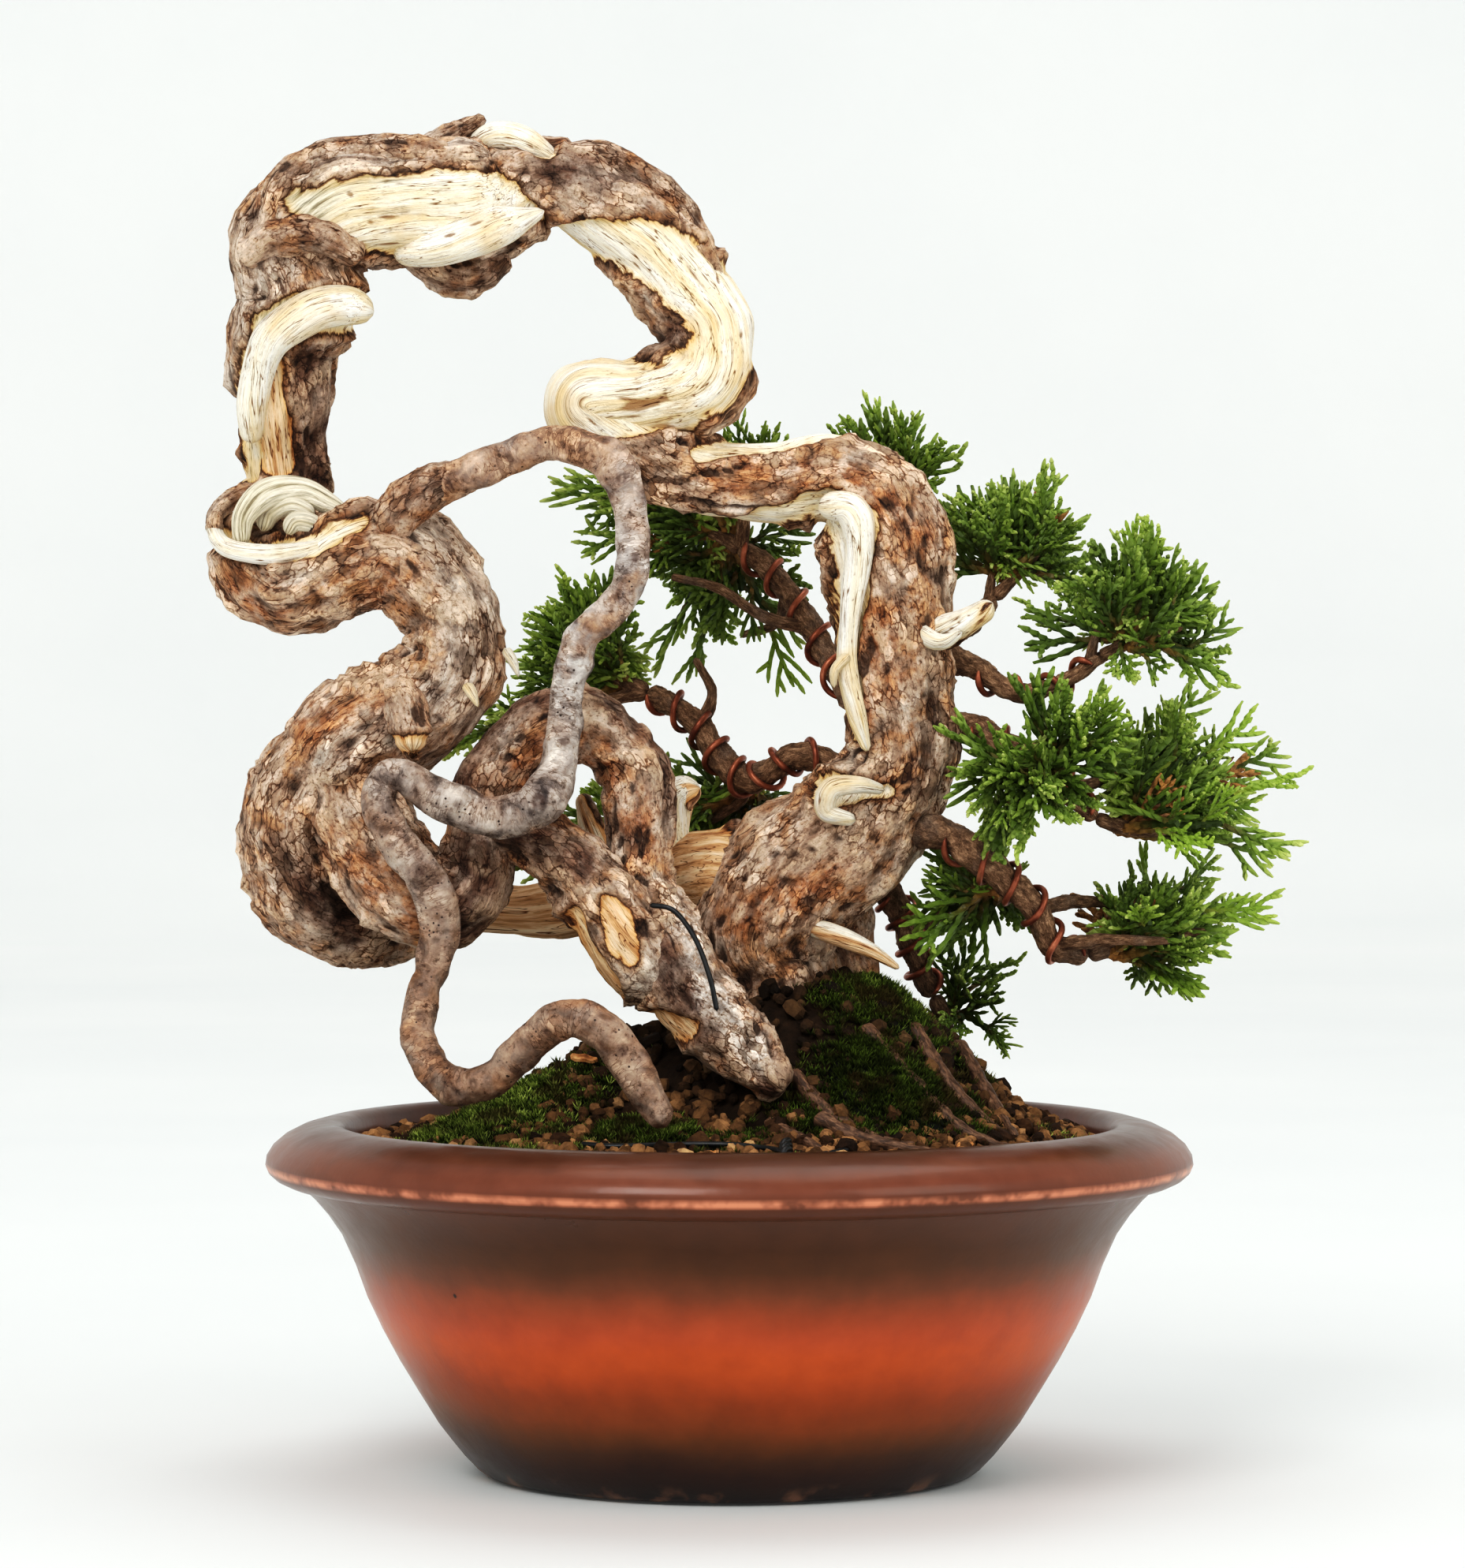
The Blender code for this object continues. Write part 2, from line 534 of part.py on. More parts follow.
# Bark chips lying on the soil
CHIPS = [(-24, -10, 25, 4.5), (-3, -47, 70, 3.0), (24, -48, 120, 4.5), (38, -36, 40, 3.5)]
for i, (x, y, turn, length) in enumerate(CHIPS):
    z = max(soil_height(x + dx, y + dy) for dx in (-2, 0, 2) for dy in (-2, 0, 2))
    bm = bmesh.new()
    bmesh.ops.create_cube(bm, size=1.0)
    bmesh.ops.scale(bm, vec=(length, length * 0.45, 0.8), verts=bm.verts)
    bmesh.ops.rotate(bm, cent=(0, 0, 0), matrix=Matrix.Rotation(math.radians(turn), 3, "Z"), verts=bm.verts)
    bmesh.ops.translate(bm, vec=(x, y, z + 1.0), verts=bm.verts)
    piece(f"bark_chip_{i + 1}", bm, chip_wood)
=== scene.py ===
import math

import bmesh
import bpy
import numpy as np
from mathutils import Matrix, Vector


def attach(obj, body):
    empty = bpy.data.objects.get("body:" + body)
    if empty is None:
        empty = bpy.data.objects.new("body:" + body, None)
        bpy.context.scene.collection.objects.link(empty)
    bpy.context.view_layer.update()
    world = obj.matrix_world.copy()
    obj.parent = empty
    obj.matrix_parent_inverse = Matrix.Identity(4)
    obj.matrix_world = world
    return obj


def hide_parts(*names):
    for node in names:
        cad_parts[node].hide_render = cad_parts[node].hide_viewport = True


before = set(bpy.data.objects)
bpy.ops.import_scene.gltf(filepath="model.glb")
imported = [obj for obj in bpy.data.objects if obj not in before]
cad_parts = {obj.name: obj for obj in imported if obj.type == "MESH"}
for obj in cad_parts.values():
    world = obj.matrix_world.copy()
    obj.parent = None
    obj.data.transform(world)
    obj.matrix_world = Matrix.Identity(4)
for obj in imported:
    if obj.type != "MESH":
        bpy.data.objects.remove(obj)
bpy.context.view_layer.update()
scene = bpy.context.scene
MM = 0.001

# ---------------------------------------------------------------- Bowl
# A thrown stoneware bowl with a fat rolled rim and a flat foot. The glaze is
# dark brown that breaks to orange round the belly, dipped and fired in one go,
# and three drain holes are cut through the floor.


def paint(red, green, blue):
    """A paint-chart colour, 0 to 255, as the shader's linear colour."""
    made = []
    for value in (red, green, blue):
        value /= 255
        made.append(value / 12.92 if value <= 0.04045 else ((value + 0.055) / 1.055) ** 2.4)
    return (*made, 1.0)


class Finish:
    """A material under construction: its nodes are added one by one and wired together."""

    def __init__(self, name):
        self.material = bpy.data.materials.new(name)
        self.material.use_nodes = True
        self.nodes = self.material.node_tree.nodes
        self.links = self.material.node_tree.links
        self.shader = self.nodes["Principled BSDF"]

    def add(self, kind, **settings):
        node = self.nodes.new("ShaderNode" + kind)
        for key, value in settings.items():
            setattr(node, key, value)
        return node

    def wire(self, source, target):
        self.links.new(source, target)

    def place(self):
        return self.add("TexCoord").outputs["Object"]

    def own(self, attribute, output="Fac"):
        return self.add("Attribute", attribute_name=attribute).outputs[output]

    def stretched(self, source, scale):
        node = self.add("Mapping")
        node.inputs["Scale"].default_value = scale
        self.wire(source, node.inputs["Vector"])
        return node.outputs["Vector"]

    def grit(self, source, scale, detail=3.0, rough=0.55, warp=0.0):
        node = self.add("TexNoise")
        node.inputs["Scale"].default_value = scale
        node.inputs["Detail"].default_value = detail
        node.inputs["Roughness"].default_value = rough
        node.inputs["Distortion"].default_value = warp
        self.wire(source, node.inputs["Vector"])
        return node.outputs["Fac"]

    def cells(self, source, scale, feature="F1", spread=1.0, output="Distance"):
        node = self.add("TexVoronoi", feature=feature)
        node.inputs["Scale"].default_value = scale
        node.inputs["Randomness"].default_value = spread
        self.wire(source, node.inputs["Vector"])
        return node.outputs[output]

    def ramp(self, source, stops, easing="LINEAR"):
        node = self.add("ValToRGB")
        band = node.color_ramp
        band.interpolation = easing
        band.elements[0].position = stops[0][0]
        band.elements[0].color = stops[0][1]
        band.elements[1].position = stops[-1][0]
        band.elements[1].color = stops[-1][1]
        for spot, colour in stops[1:-1]:
            band.elements.new(spot).color = colour
        self.wire(source, node.inputs["Fac"])
        return node.outputs["Color"]

    def level(self, source, low, high, out_low=0.0, out_high=1.0):
        node = self.add("MapRange", clamp=True)
        for key, value in (("From Min", low), ("From Max", high), ("To Min", out_low), ("To Max", out_high)):
            node.inputs[key].default_value = value
        self.wire(source, node.inputs["Value"])
        return node.outputs["Result"]

    def sum(self, first, second, how="ADD"):
        node = self.add("Math", operation=how)
        for i, value in enumerate((first, second)):
            if isinstance(value, (int, float)):
                node.inputs[i].default_value = value
            else:
                self.wire(value, node.inputs[i])
        return node.outputs["Value"]

    def blend(self, share, under, over, how="MIX"):
        node = self.add("Mix", data_type="RGBA", blend_type=how)
        for name, value in (("Factor", share), ("A", under), ("B", over)):
            socket = [one for one in node.inputs if one.name == name and (name == "Factor" or one.type == "RGBA")][0]
            if isinstance(value, (int, float, tuple)):
                socket.default_value = value
            else:
                self.wire(value, socket)
        return [one for one in node.outputs if one.type == "RGBA"][0]

    def bump(self, height, depth, strength=1.0, over=None):
        node = self.add("Bump")
        node.inputs["Strength"].default_value = strength
        node.inputs["Distance"].default_value = depth
        self.wire(height, node.inputs["Height"])
        if over is not None:
            self.wire(over, node.inputs["Normal"])
        return node.outputs["Normal"]

    def done(self, colour=None, rough=None, normal=None, **sockets):
        shader = self.shader
        for name, value in (("Base Color", colour), ("Roughness", rough), ("Normal", normal)):
            if value is None:
                continue
            if isinstance(value, (int, float, tuple)):
                shader.inputs[name].default_value = value
            else:
                self.wire(value, shader.inputs[name])
        for name, value in sockets.items():
            shader.inputs[name.replace("_", " ")].default_value = value
        return self.material


def clear_selection():
    if bpy.context.object and bpy.context.object.mode != "OBJECT":
        bpy.ops.object.mode_set(mode="OBJECT")
    bpy.ops.object.select_all(action="DESELECT")


def settle(thing, name):
    """Names a finished piece and puts its place into its mesh."""
    clear_selection()
    thing.name = name
    thing.data.name = name
    thing.select_set(True)
    bpy.context.view_layer.objects.active = thing
    bpy.ops.object.transform_apply(location=True, rotation=True, scale=True)
    return thing


glaze = Finish("bowl_glaze")
spot = glaze.place()
height_split = glaze.add("SeparateXYZ")
glaze.wire(spot, height_split.inputs["Vector"])
cloud = glaze.grit(spot, 26.0, 4.0, 0.6)
fine_cloud = glaze.grit(spot, 160.0, 3.0, 0.6)
wander = glaze.level(cloud, 0.3, 0.7, -0.0016, 0.0016)
up = glaze.level(glaze.sum(height_split.outputs["Z"], wander), 0.0, 0.060)
# from the foot up: nearly black, orange at the belly, dark under the rim, warm brown on it
glaze_body = glaze.ramp(up, [
    (0.000, paint(30, 12, 5)), (0.080, paint(56, 26, 9)), (0.130, paint(78, 46, 22)), (0.180, paint(108, 62, 27)),
    (0.225, paint(132, 70, 31)), (0.300, paint(150, 73, 31)), (0.385, paint(180, 86, 38)),
    (0.430, paint(184, 87, 41)),
    (0.475, paint(176, 84, 47)), (0.550, paint(148, 77, 45)), (0.605, paint(118, 69, 42)), (0.660, paint(94, 58, 32)),
    (0.720, paint(85, 51, 26)), (0.790, paint(93, 59, 40)), (0.850, paint(100, 58, 38)), (0.890, paint(118, 70, 50)),
    (0.925, paint(116, 70, 50)), (0.960, paint(92, 54, 36)), (1.000, paint(78, 46, 28)),
])
body = glaze.blend(
    1.0, glaze_body, glaze.ramp(fine_cloud, [(0.25, (0.86, 0.84, 0.83, 1)), (0.75, (1.08, 1.07, 1.06, 1))]),
    "MULTIPLY",
)
# a few dark specks and paler blushes in the glaze
pit_here = glaze.level(glaze.cells(spot, 95.0), 0.035, 0.055, 1.0, 0.0)
pit_pick = glaze.level(glaze.grit(spot, 40.0, 0.0), 0.62, 0.66)
pit = glaze.sum(pit_here, pit_pick, "MULTIPLY")
body = glaze.blend(pit, body, paint(46, 28, 22))
blush = glaze.cells(glaze.stretched(spot, (1.0, 1.0, 1.3)), 38.0)
blush_here = glaze.sum(glaze.level(blush, 0.05, 0.075, 0.75, 0.0), glaze.level(cloud, 0.62, 0.65), "MULTIPLY")
body = glaze.blend(blush_here, body, paint(150, 80, 60))
# a pale pink painted highlight runs along the sharp lower edge of the rim, where the glaze runs thin, and the glaze
# is rubbed off at the foot
rim_edge_highlight = glaze.sum(
    glaze.level(height_split.outputs["Z"], 0.0504, 0.0510),
    glaze.level(height_split.outputs["Z"], 0.0514, 0.0522, 1.0, 0.0), "MULTIPLY",
)
rim_edge_highlight = glaze.sum(rim_edge_highlight, glaze.level(fine_cloud, 0.38, 0.58, 0.1, 0.75), "MULTIPLY")
body = glaze.blend(rim_edge_highlight, body, paint(226, 150, 118))
foot_wear = glaze.sum(
    glaze.level(height_split.outputs["Z"], 0.0004, 0.0035, 1.0, 0.0),
    glaze.level(glaze.grit(spot, 120.0, 4.0), 0.50, 0.62),
    "MULTIPLY",
)
body = glaze.blend(foot_wear, body, paint(126, 88, 66))
ripple = glaze.bump(glaze.grit(spot, 70.0, 2.0, 0.5), 0.0004, 0.35)
ripple = glaze.bump(glaze.grit(spot, 900.0, 2.0, 0.5), 0.00004, 0.5, ripple)
glaze.done(
    body, glaze.level(fine_cloud, 0.2, 0.8, 0.26, 0.40), ripple, IOR=1.5, Specular_IOR_Level=0.38, Coat_Weight=0.12,
    Coat_Roughness=0.1,
)

# radius and height in mm, up the outside, over the rim and down the inside
BOWL_OUTSIDE = [
    (38.0, 0.35), (40.2, 0.0), (41.4, 0.15), (42.4, 0.9), (44.6, 3.2), (46.8, 5.9), (48.8, 8.5),
    (52.1, 13.8), (55.3, 19.1), (58.1, 24.3), (60.6, 29.6), (62.5, 34.9), (64.9, 40.2),
    (67.1, 43.4), (69.4, 46.1), (71.0, 47.6), (71.9, 48.35), (72.3, 48.25), (74.2, 48.6),
    (75.9, 49.4), (77.0, 50.4), (77.5, 51.6), (77.3, 53.0), (76.3, 54.6), (74.4, 56.2),
    (71.8, 57.5), (68.9, 58.3), (66.6, 58.5), (65.2, 58.2), (64.4, 57.4), (64.0, 55.5),
]
BOWL_INSIDE = [(63.4, 51.0), (61.3, 44.0), (57.4, 35.0), (54.0, 27.0), (49.5, 17.0), (44.0, 8.5), (38.0, 5.0)]
BOWL_STEPS = 144
DRAIN_ANGLES = (94.0, 214.0, 334.0)
DRAIN_REACH, DRAIN_RADIUS = 0.020, 0.006

clear_selection()
bpy.ops.mesh.primitive_plane_add(size=0.001, location=(0, 0, 0))
bowl = bpy.context.object
bpy.ops.object.mode_set(mode="EDIT")
bpy.ops.mesh.merge(type="CENTER")
pen = (0.0, 0.35)
bpy.ops.transform.translate(value=(0, 0, pen[1] * MM))
for radius, height in BOWL_OUTSIDE + BOWL_INSIDE + [(0.0, 5.0)]:
    bpy.ops.mesh.extrude_region_move(
        TRANSFORM_OT_translate={"value": ((radius - pen[0]) * MM, 0, (height - pen[1]) * MM)}
    )
    pen = (radius, height)
bpy.ops.mesh.select_all(action="SELECT")
bpy.ops.mesh.spin(steps=BOWL_STEPS, angle=math.tau, center=(0, 0, 0), axis=(0, 0, 1))
bpy.ops.mesh.select_all(action="SELECT")
bpy.ops.mesh.remove_doubles(threshold=0.00002)
bpy.ops.mesh.select_all(action="SELECT")
bpy.ops.mesh.normals_make_consistent(inside=False)
bpy.ops.object.mode_set(mode="OBJECT")
drills = []
for angle in DRAIN_ANGLES:
    a = math.radians(angle)
    clear_selection()
    bpy.ops.mesh.primitive_cylinder_add(
        vertices=40, radius=DRAIN_RADIUS, depth=0.02, location=(
            DRAIN_REACH * math.cos(a), DRAIN_REACH * math.sin(a), 0.0,
        )
    )
    drill = bpy.context.object
    drills.append(drill)
    hole = bowl.modifiers.new("drain_hole", "BOOLEAN")
    hole.operation = "DIFFERENCE"
    hole.solver = "EXACT"
    hole.object = drill
clear_selection()
bowl.select_set(True)
bpy.context.view_layer.objects.active = bowl
for modifier in list(bowl.modifiers):
    bpy.ops.object.modifier_apply(modifier=modifier.name)
for drill in drills:
    bpy.data.objects.remove(drill, do_unlink=True)
bpy.ops.object.shade_smooth_by_angle(angle=math.radians(38))
bowl.data.materials.append(glaze.material)
settle(bowl, "glazed_bowl")
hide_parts("bowl")
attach(bowl, "root")

# ---------------------------------------------------------------- Drain screens
# Squares of black plastic mesh cut round, laid over each drain hole inside the
# bowl so that the soil stays in and the water runs out.
screen_plastic = Finish("screen_mesh_plastic")
spot = screen_plastic.place()
screen_plastic.done(
    screen_plastic.ramp(screen_plastic.grit(spot, 500.0, 3.0), [(0.3, paint(26, 26, 25)), (0.7, paint(44, 42, 38))]),
    screen_plastic.level(screen_plastic.grit(spot, 900.0), 0.3, 0.7, 0.5, 0.7),
    screen_plastic.bump(screen_plastic.grit(spot, 2500.0), 0.00003),
    IOR=1.46,
)
for number, angle in enumerate(DRAIN_ANGLES):
    a = math.radians(angle)
    clear_selection()
    bpy.ops.mesh.primitive_grid_add(
        x_subdivisions=14, y_subdivisions=14, size=0.0196, location=(
            DRAIN_REACH * math.cos(a), DRAIN_REACH * math.sin(a), 0.0058,
        )
    )
    screen = bpy.context.object
    bpy.ops.object.mode_set(mode="EDIT")
    bpy.ops.mesh.select_all(action="DESELECT")
    edit = bmesh.from_edit_mesh(screen.data)
    for face in edit.faces:
        face.select = face.calc_center_median().length > 0.0089
    bmesh.update_edit_mesh(screen.data)
    bpy.ops.mesh.delete(type="FACE")
    bpy.ops.object.mode_set(mode="OBJECT")
    bars = screen.modifiers.new("bars", "WIREFRAME")
    bars.thickness = 0.0005
    bars.use_replace = True
    bpy.ops.object.modifier_apply(modifier="bars")
    screen.data.materials.append(screen_plastic.material)
    settle(screen, f"plastic_screen_{number + 1}")
    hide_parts(f"drain_screen_{number + 1}")
    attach(screen, "root")

# ---------------------------------------------------------------- Trunk
# The juniper's own wood: one twisting limb that loops over and comes back down
# as living strands, with strips of bark still alive between bleached dead wood.
# It is one growth, rooted in the soil mound.


def lumps(points, size, seed=0):
    """Smooth hill-and-hollow values, about -1 to 1, for points in mm."""
    q = np.asarray(points, float) / size + 31.7 * seed
    cell = np.floor(q).astype(np.int64)
    part = q - cell
    ease = part**3 * (part * (part * 6 - 15) + 10)
    out = np.zeros(q.shape[:-1])
    for i in (0, 1):
        for j in (0, 1):
            for k in (0, 1):
                step = np.array([i, j, k])
                c = cell + step
                h = (c[..., 0] * 73856093) ^ (c[..., 1] * 19349663) ^ (c[..., 2] * 83492791)
                h = (h ^ (h >> 13)) * 1274126177 & 0x7FFFFFFF
                h = h ^ (h >> 16)
                lean = np.stack([h & 1023, (h >> 10) & 1023, (h >> 20) & 1023], -1) / 511.5 - 1
                share = np.prod(np.where(step, ease, 1 - ease), axis=-1)
                out += share * ((part - step) * lean).sum(-1)
    return np.clip(out * 1.6, -1, 1)


def strand_line(points, step):
    """Evenly spaced (x, y, z, radius) in mm along a smooth curve through a strand's points."""
    p = np.array(points, float)
    p = np.vstack([2 * p[0] - p[1], p, 2 * p[-1] - p[-2]])
    fine = []
    for a, b, c, d in zip(p, p[1:], p[2:], p[3:]):
        for t in np.linspace(0, 1, 24, endpoint=False):
            fine.append(
                0.5 * (2 * b + (c - a) * t + (2 * a - 5 * b + 4 * c - d) * t * t + (3 * b - a - 3 * c + d) * t**3)
            )
    fine.append(p[-2])
    fine = np.array(fine)
    hop = np.diff(fine[:, :3], axis=0)
    length = np.linalg.norm(hop, axis=1)
    way = hop / length[:, None]
    swing = np.arccos(np.clip((way[1:] * way[:-1]).sum(-1), -1, 1))
    run = np.concatenate([[0], np.cumsum(length)])
    effort = np.concatenate([[0], np.cumsum(length + np.concatenate([[0], swing]) * fine[1:, 3])])
    count = max(4, int(effort[-1] / step))
    even = np.interp(np.linspace(0, effort[-1], count + 1), effort, run)
    line = np.stack([np.interp(even, run, fine[:, k]) for k in range(4)], -1)
    line[:, 3] = np.maximum(line[:, 3], 0.05)
    inset = np.clip(np.minimum(even, even[-1] - even) / line[:, 3], 0, 1)
    line[:, 3] *= np.sqrt(np.maximum(1 - (1 - inset) ** 2, 0.015))
    return line, even


def strand_axes(line):
    """For each place along a strand: which way it runs, across it, and out of it to the front."""
    along = np.gradient(line[:, :3], axis=0)
    along /= np.linalg.norm(along, axis=1)[:, None]
    front = np.array([0.0, -1.0, 0.0]) - along * -along[:, 1:2]
    front /= np.linalg.norm(front, axis=1)[:, None]
    return along, np.cross(along, front), front


def tube(line, count):
    """A round strand: which way it runs, the angles round it, the way out at each, and its points."""
    along, across, front = strand_axes(line)
    turn = np.linspace(0, math.tau, count, endpoint=False)
    outward = across[:, None, :] * np.sin(turn)[None, :, None] + front[:, None, :] * np.cos(turn)[None, :, None]
    return along, turn, outward, line[:, None, :3] + outward * line[:, 3][:, None, None]


def grain_round(turn, run, wide):
    """Where each point lies round and along a strand, for patterns that follow the grain."""
    return np.stack(np.broadcast_arrays(np.cos(turn)[None, :] * wide, np.sin(turn)[None, :] * wide, run[:, None]), -1)


def reach(x, z, strokes, seed, fray=1.0):
    """How far inside a set of painted-out strips each place lies, in mm; below zero is outside."""
    best = np.full(x.shape, -50.0)
    for stroke in strokes:
        s = np.array(stroke, float)
        for (ax, az, ar), (bx, bz, br) in zip(s, s[1:]):
            dx, dz = bx - ax, bz - az
            t = np.clip(((x - ax) * dx + (z - az) * dz) / (dx * dx + dz * dz), 0, 1)
            best = np.maximum(best, ar + (br - ar) * t - np.hypot(x - ax - dx * t, z - az - dz * t))
    wander = lumps(np.stack([x, z, x * 0 + seed], -1), 5.0, seed) * 0.8
    wander += lumps(np.stack([x, z, x * 0], -1), 2.2, seed + 1) * 0.35
    return np.clip(best + wander * fray, -4, 4)


def tidy_step(value, low, high):
    t = np.clip((value - low) / (high - low), 0, 1)
    return t * t * (3 - 2 * t)


def sheathe(rings, ahead, radius):
    """Points and faces of a closed skin over rings of points, with one point at each end."""
    rows, cols, _ = rings.shape
    ids = np.arange(rows * cols).reshape(rows, cols)
    following = np.roll(ids, -1, axis=1)
    faces = np.stack([ids[:-1], following[:-1], following[1:], ids[1:]], -1).reshape(-1, 4).tolist()
    first = rings[0].mean(axis=0) - ahead[0] * radius[0] * 0.25
    last = rings[-1].mean(axis=0) + ahead[-1] * radius[-1] * 0.25
    for k in range(cols):
        faces.append([int(following[0, k]), int(ids[0, k]), rows * cols])
        faces.append([int(ids[-1, k]), int(following[-1, k]), rows * cols + 1])
    return np.vstack([rings.reshape(-1, 3), first, last]), faces


def with_ends(value):
    """A skin's marks, its two end points included."""
    return np.concatenate([value.reshape(-1), [value[0].mean(), value[-1].mean()]])


def grain_with_ends(grain):
    return np.vstack([grain.reshape(-1, 3), grain[0].mean(axis=0), grain[-1].mean(axis=0)])


def gathered(skins):
    """Several closed skins as one: all their points, and their faces numbered on."""
    points, faces, corner = [], [], 0
    for made, sides in skins:
        points.append(made)
        faces.extend([[corner + k for k in face] for face in sides])
        corner += len(made)
    return np.concatenate(points), faces


def grown(name, points, faces, marks, grain=None, smooth=True):
    """A grown piece from its points in mm and its faces, with the marks its finish reads."""
    mesh = bpy.data.meshes.new(name)
    mesh.from_pydata((np.asarray(points) * MM).tolist(), [], faces)
    for key, value in marks.items():
        layer = mesh.attributes.new(key, "FLOAT", "POINT")
        layer.data.foreach_set("value", np.asarray(value, np.float32))
    if grain is not None:
        layer = mesh.attributes.new("grain", "FLOAT_VECTOR", "POINT")
        layer.data.foreach_set("vector", np.asarray(grain, np.float32).ravel())
    mesh.polygons.foreach_set("use_smooth", [smooth] * len(mesh.polygons))
    mesh.update()
    thing = bpy.data.objects.new(name, mesh)
    scene.collection.objects.link(thing)
    return thing


DEAD_WOOD = [
    [(-71, 211, 2.4), (-65, 210, 4.7), (-56, 209, 6.6), (-47, 209, 7.6), (-39, 211, 5.5), (-32, 210, 1.3)],
    [(-41, 224, 1.3), (-36, 222, 2.1), (-30, 220, 1.0)],
    [(-30, 207, 1.3), (-23, 206, 2.9), (-16, 205, 4.2), (-9, 201, 5.5), (-3, 196, 6.0), (0, 189, 6.0),
     (-3, 183, 5.8), (-10, 179, 5.8), (-18, 179, 6.6), (-26, 178, 6.8)],
    [
        (-80, 167, 1.3), (-80, 174, 1.7), (-80, 182, 2.6), (-76, 190, 3.4), (-70, 193, 3.9), (-64, 194, 3.4),
        (-59, 193, 2.1),
    ],
    [(-5, 170, 1.3), (3, 171, 1.3), (11, 172, 1.4), (18, 173, 1.0)],
    [(-13, 161, 1.2), (-7, 159, 1.7), (1, 158, 1.8), (9, 160, 1.6), (15, 162, 1.6)],
    [(17, 161, 3.4), (21, 158, 3.9), (21, 151, 2.9), (20, 143, 2.4), (20, 135, 1.7), (21, 127, 1.4), (23, 121, 0.9)],
    [(17, 113, 2.6), (22, 114, 1.8), (26, 114, 1.0)],
    [(-85, 155, 1.8), (-78, 153, 2.1), (-69, 154, 1.8), (-60, 158, 1.2)],
]
RUST_BARK = [
    [(-3, 166, 2.4), (10, 165, 3.1), (22, 164, 3.4), (31, 155, 2.9)],
    [(25, 142, 2.9), (26, 132, 3.1), (25, 127, 1.8)],
    [(-81, 148, 2.6), (-75, 144, 2.9)],
    [(-62, 155, 2.6), (-58, 148, 2.9), (-53, 151, 1.8)],
    [(-72, 127, 3.1), (-64, 123, 4.5), (-56, 127, 3.4)],
    [(1, 92, 3.4), (10, 96, 3.7), (20, 100, 3.1)],
    [(-66, 108, 2.6), (-60, 101, 3.1), (-52, 94, 2.6)],
]
# strips of dark bark, and one of painted shade: the second, down the hollow in the trunk's left column
DARK_BARK_AND_PAINTED_SHADE = [
    [(-31, 217, 2.6), (-24, 217, 3.4), (-18, 216, 2.6)],
    [(-70, 186, 3.1), (-70, 177, 3.9), (-70, 168, 3.7)],
    [(-14, 188, 3.4), (-7, 190, 2.6)],
    [(-76, 203, 2.4), (-69, 206, 1.8), (-61, 201, 1.3)],
    [(-75, 106, 1.8), (-69, 97, 2.6), (-63, 90, 2.9)],
]
# painted light: strips of pale grey bark that make the trunk's left side lighter, standing in for light falling from
# the left
GREY_BARK_AND_PAINTED_LIGHT = [
    [(-50, 157, 2.6), (-43, 145, 4.0), (-43, 135, 3.6), (-52, 127, 3.4), (-66, 119, 3.0)],
    [(-80, 178, 3.4), (-79, 191, 4.0), (-76, 206, 4.4), (-66, 216, 3.6), (-54, 218, 2.8)],
]
# knots in the bark: x, z and radius
KNOTS = [
    (8, 103, 1.0), (11, 103, 0.8), (14, 104, 0.7), (3, 99, 0.9), (9, 99, 1.0), (30, 116, 0.9), (18, 106, 0.8),
    (30, 153, 0.9), (-48, 126, 0.7), (26, 134, 0.9), (-62, 118, 0.8), (-76, 142, 0.8), (13, 96, 0.9),
]

TRUNK_MAIN = [
    (8, 12, 62, 12.5), (7, 11, 72, 12.8), (6, 10, 82, 12.4), (5, 8, 90, 12.6),
    (11, 5, 99, 11.9), (22, 3, 108, 10.7), (29, 1, 119, 8.4), (28, 0, 132, 9.0),
    (27, 0, 146, 9.9), (25, 0, 158, 9.9), (19, 1, 165, 7.8), (8, 1, 165, 6.6),
    (-5, -1, 166, 6.3), (-15, -3, 171, 6.3), (-24, -4, 178, 6.6), (-14, -4, 179, 6.4),
    (-5, -3, 182, 7.4), (-3, -1, 190, 6.9), (-8, 2, 198, 7.7), (-13, 3, 205, 7.9),
    (-19, 3, 210, 7.7), (-25, 3, 214, 6.9), (-32, 3, 216, 6.4), (-38, 3, 213, 8.6),
    (-44, 2, 212, 10.2), (-55, 0, 212, 9.9), (-65, 0, 211, 10.3), (-73, 2, 205, 9.6),
    (-72, 3, 196, 10.4), (-75, 5, 188, 8.8), (-75, 6, 179, 7.4), (-75, 9, 170, 6.7),
    (-75, 9, 160, 6.9), (-79, 4, 152, 7.4), (-73, -3, 148, 7.5), (-63, -6, 152, 8.5),
    (-55, -7, 153, 8.3), (-47, -7, 144, 7.7), (-46, -8, 135, 7.9), (-52, -9, 128, 8.8),
    (-62, -10, 122, 9.8), (-70, -9, 114, 9.6),
]
TRUNK_OUTER = [
    (-61, -8, 125, 5.0), (-67, -9, 119, 7.2), (-72, -8, 112, 8.0), (-73, -6, 105, 7.8), (-70, -3, 97, 8.2),
    (-64, 2, 92, 6.9), (-55, 9, 91, 5.3), (-45, 12, 94, 4.7), (-35, 12, 93, 4.5), (-25, 11, 94, 5.3),
    (-14, 10, 98, 6.3), (-3, 8, 99, 8.0), (5, 6, 95, 10.0),
]
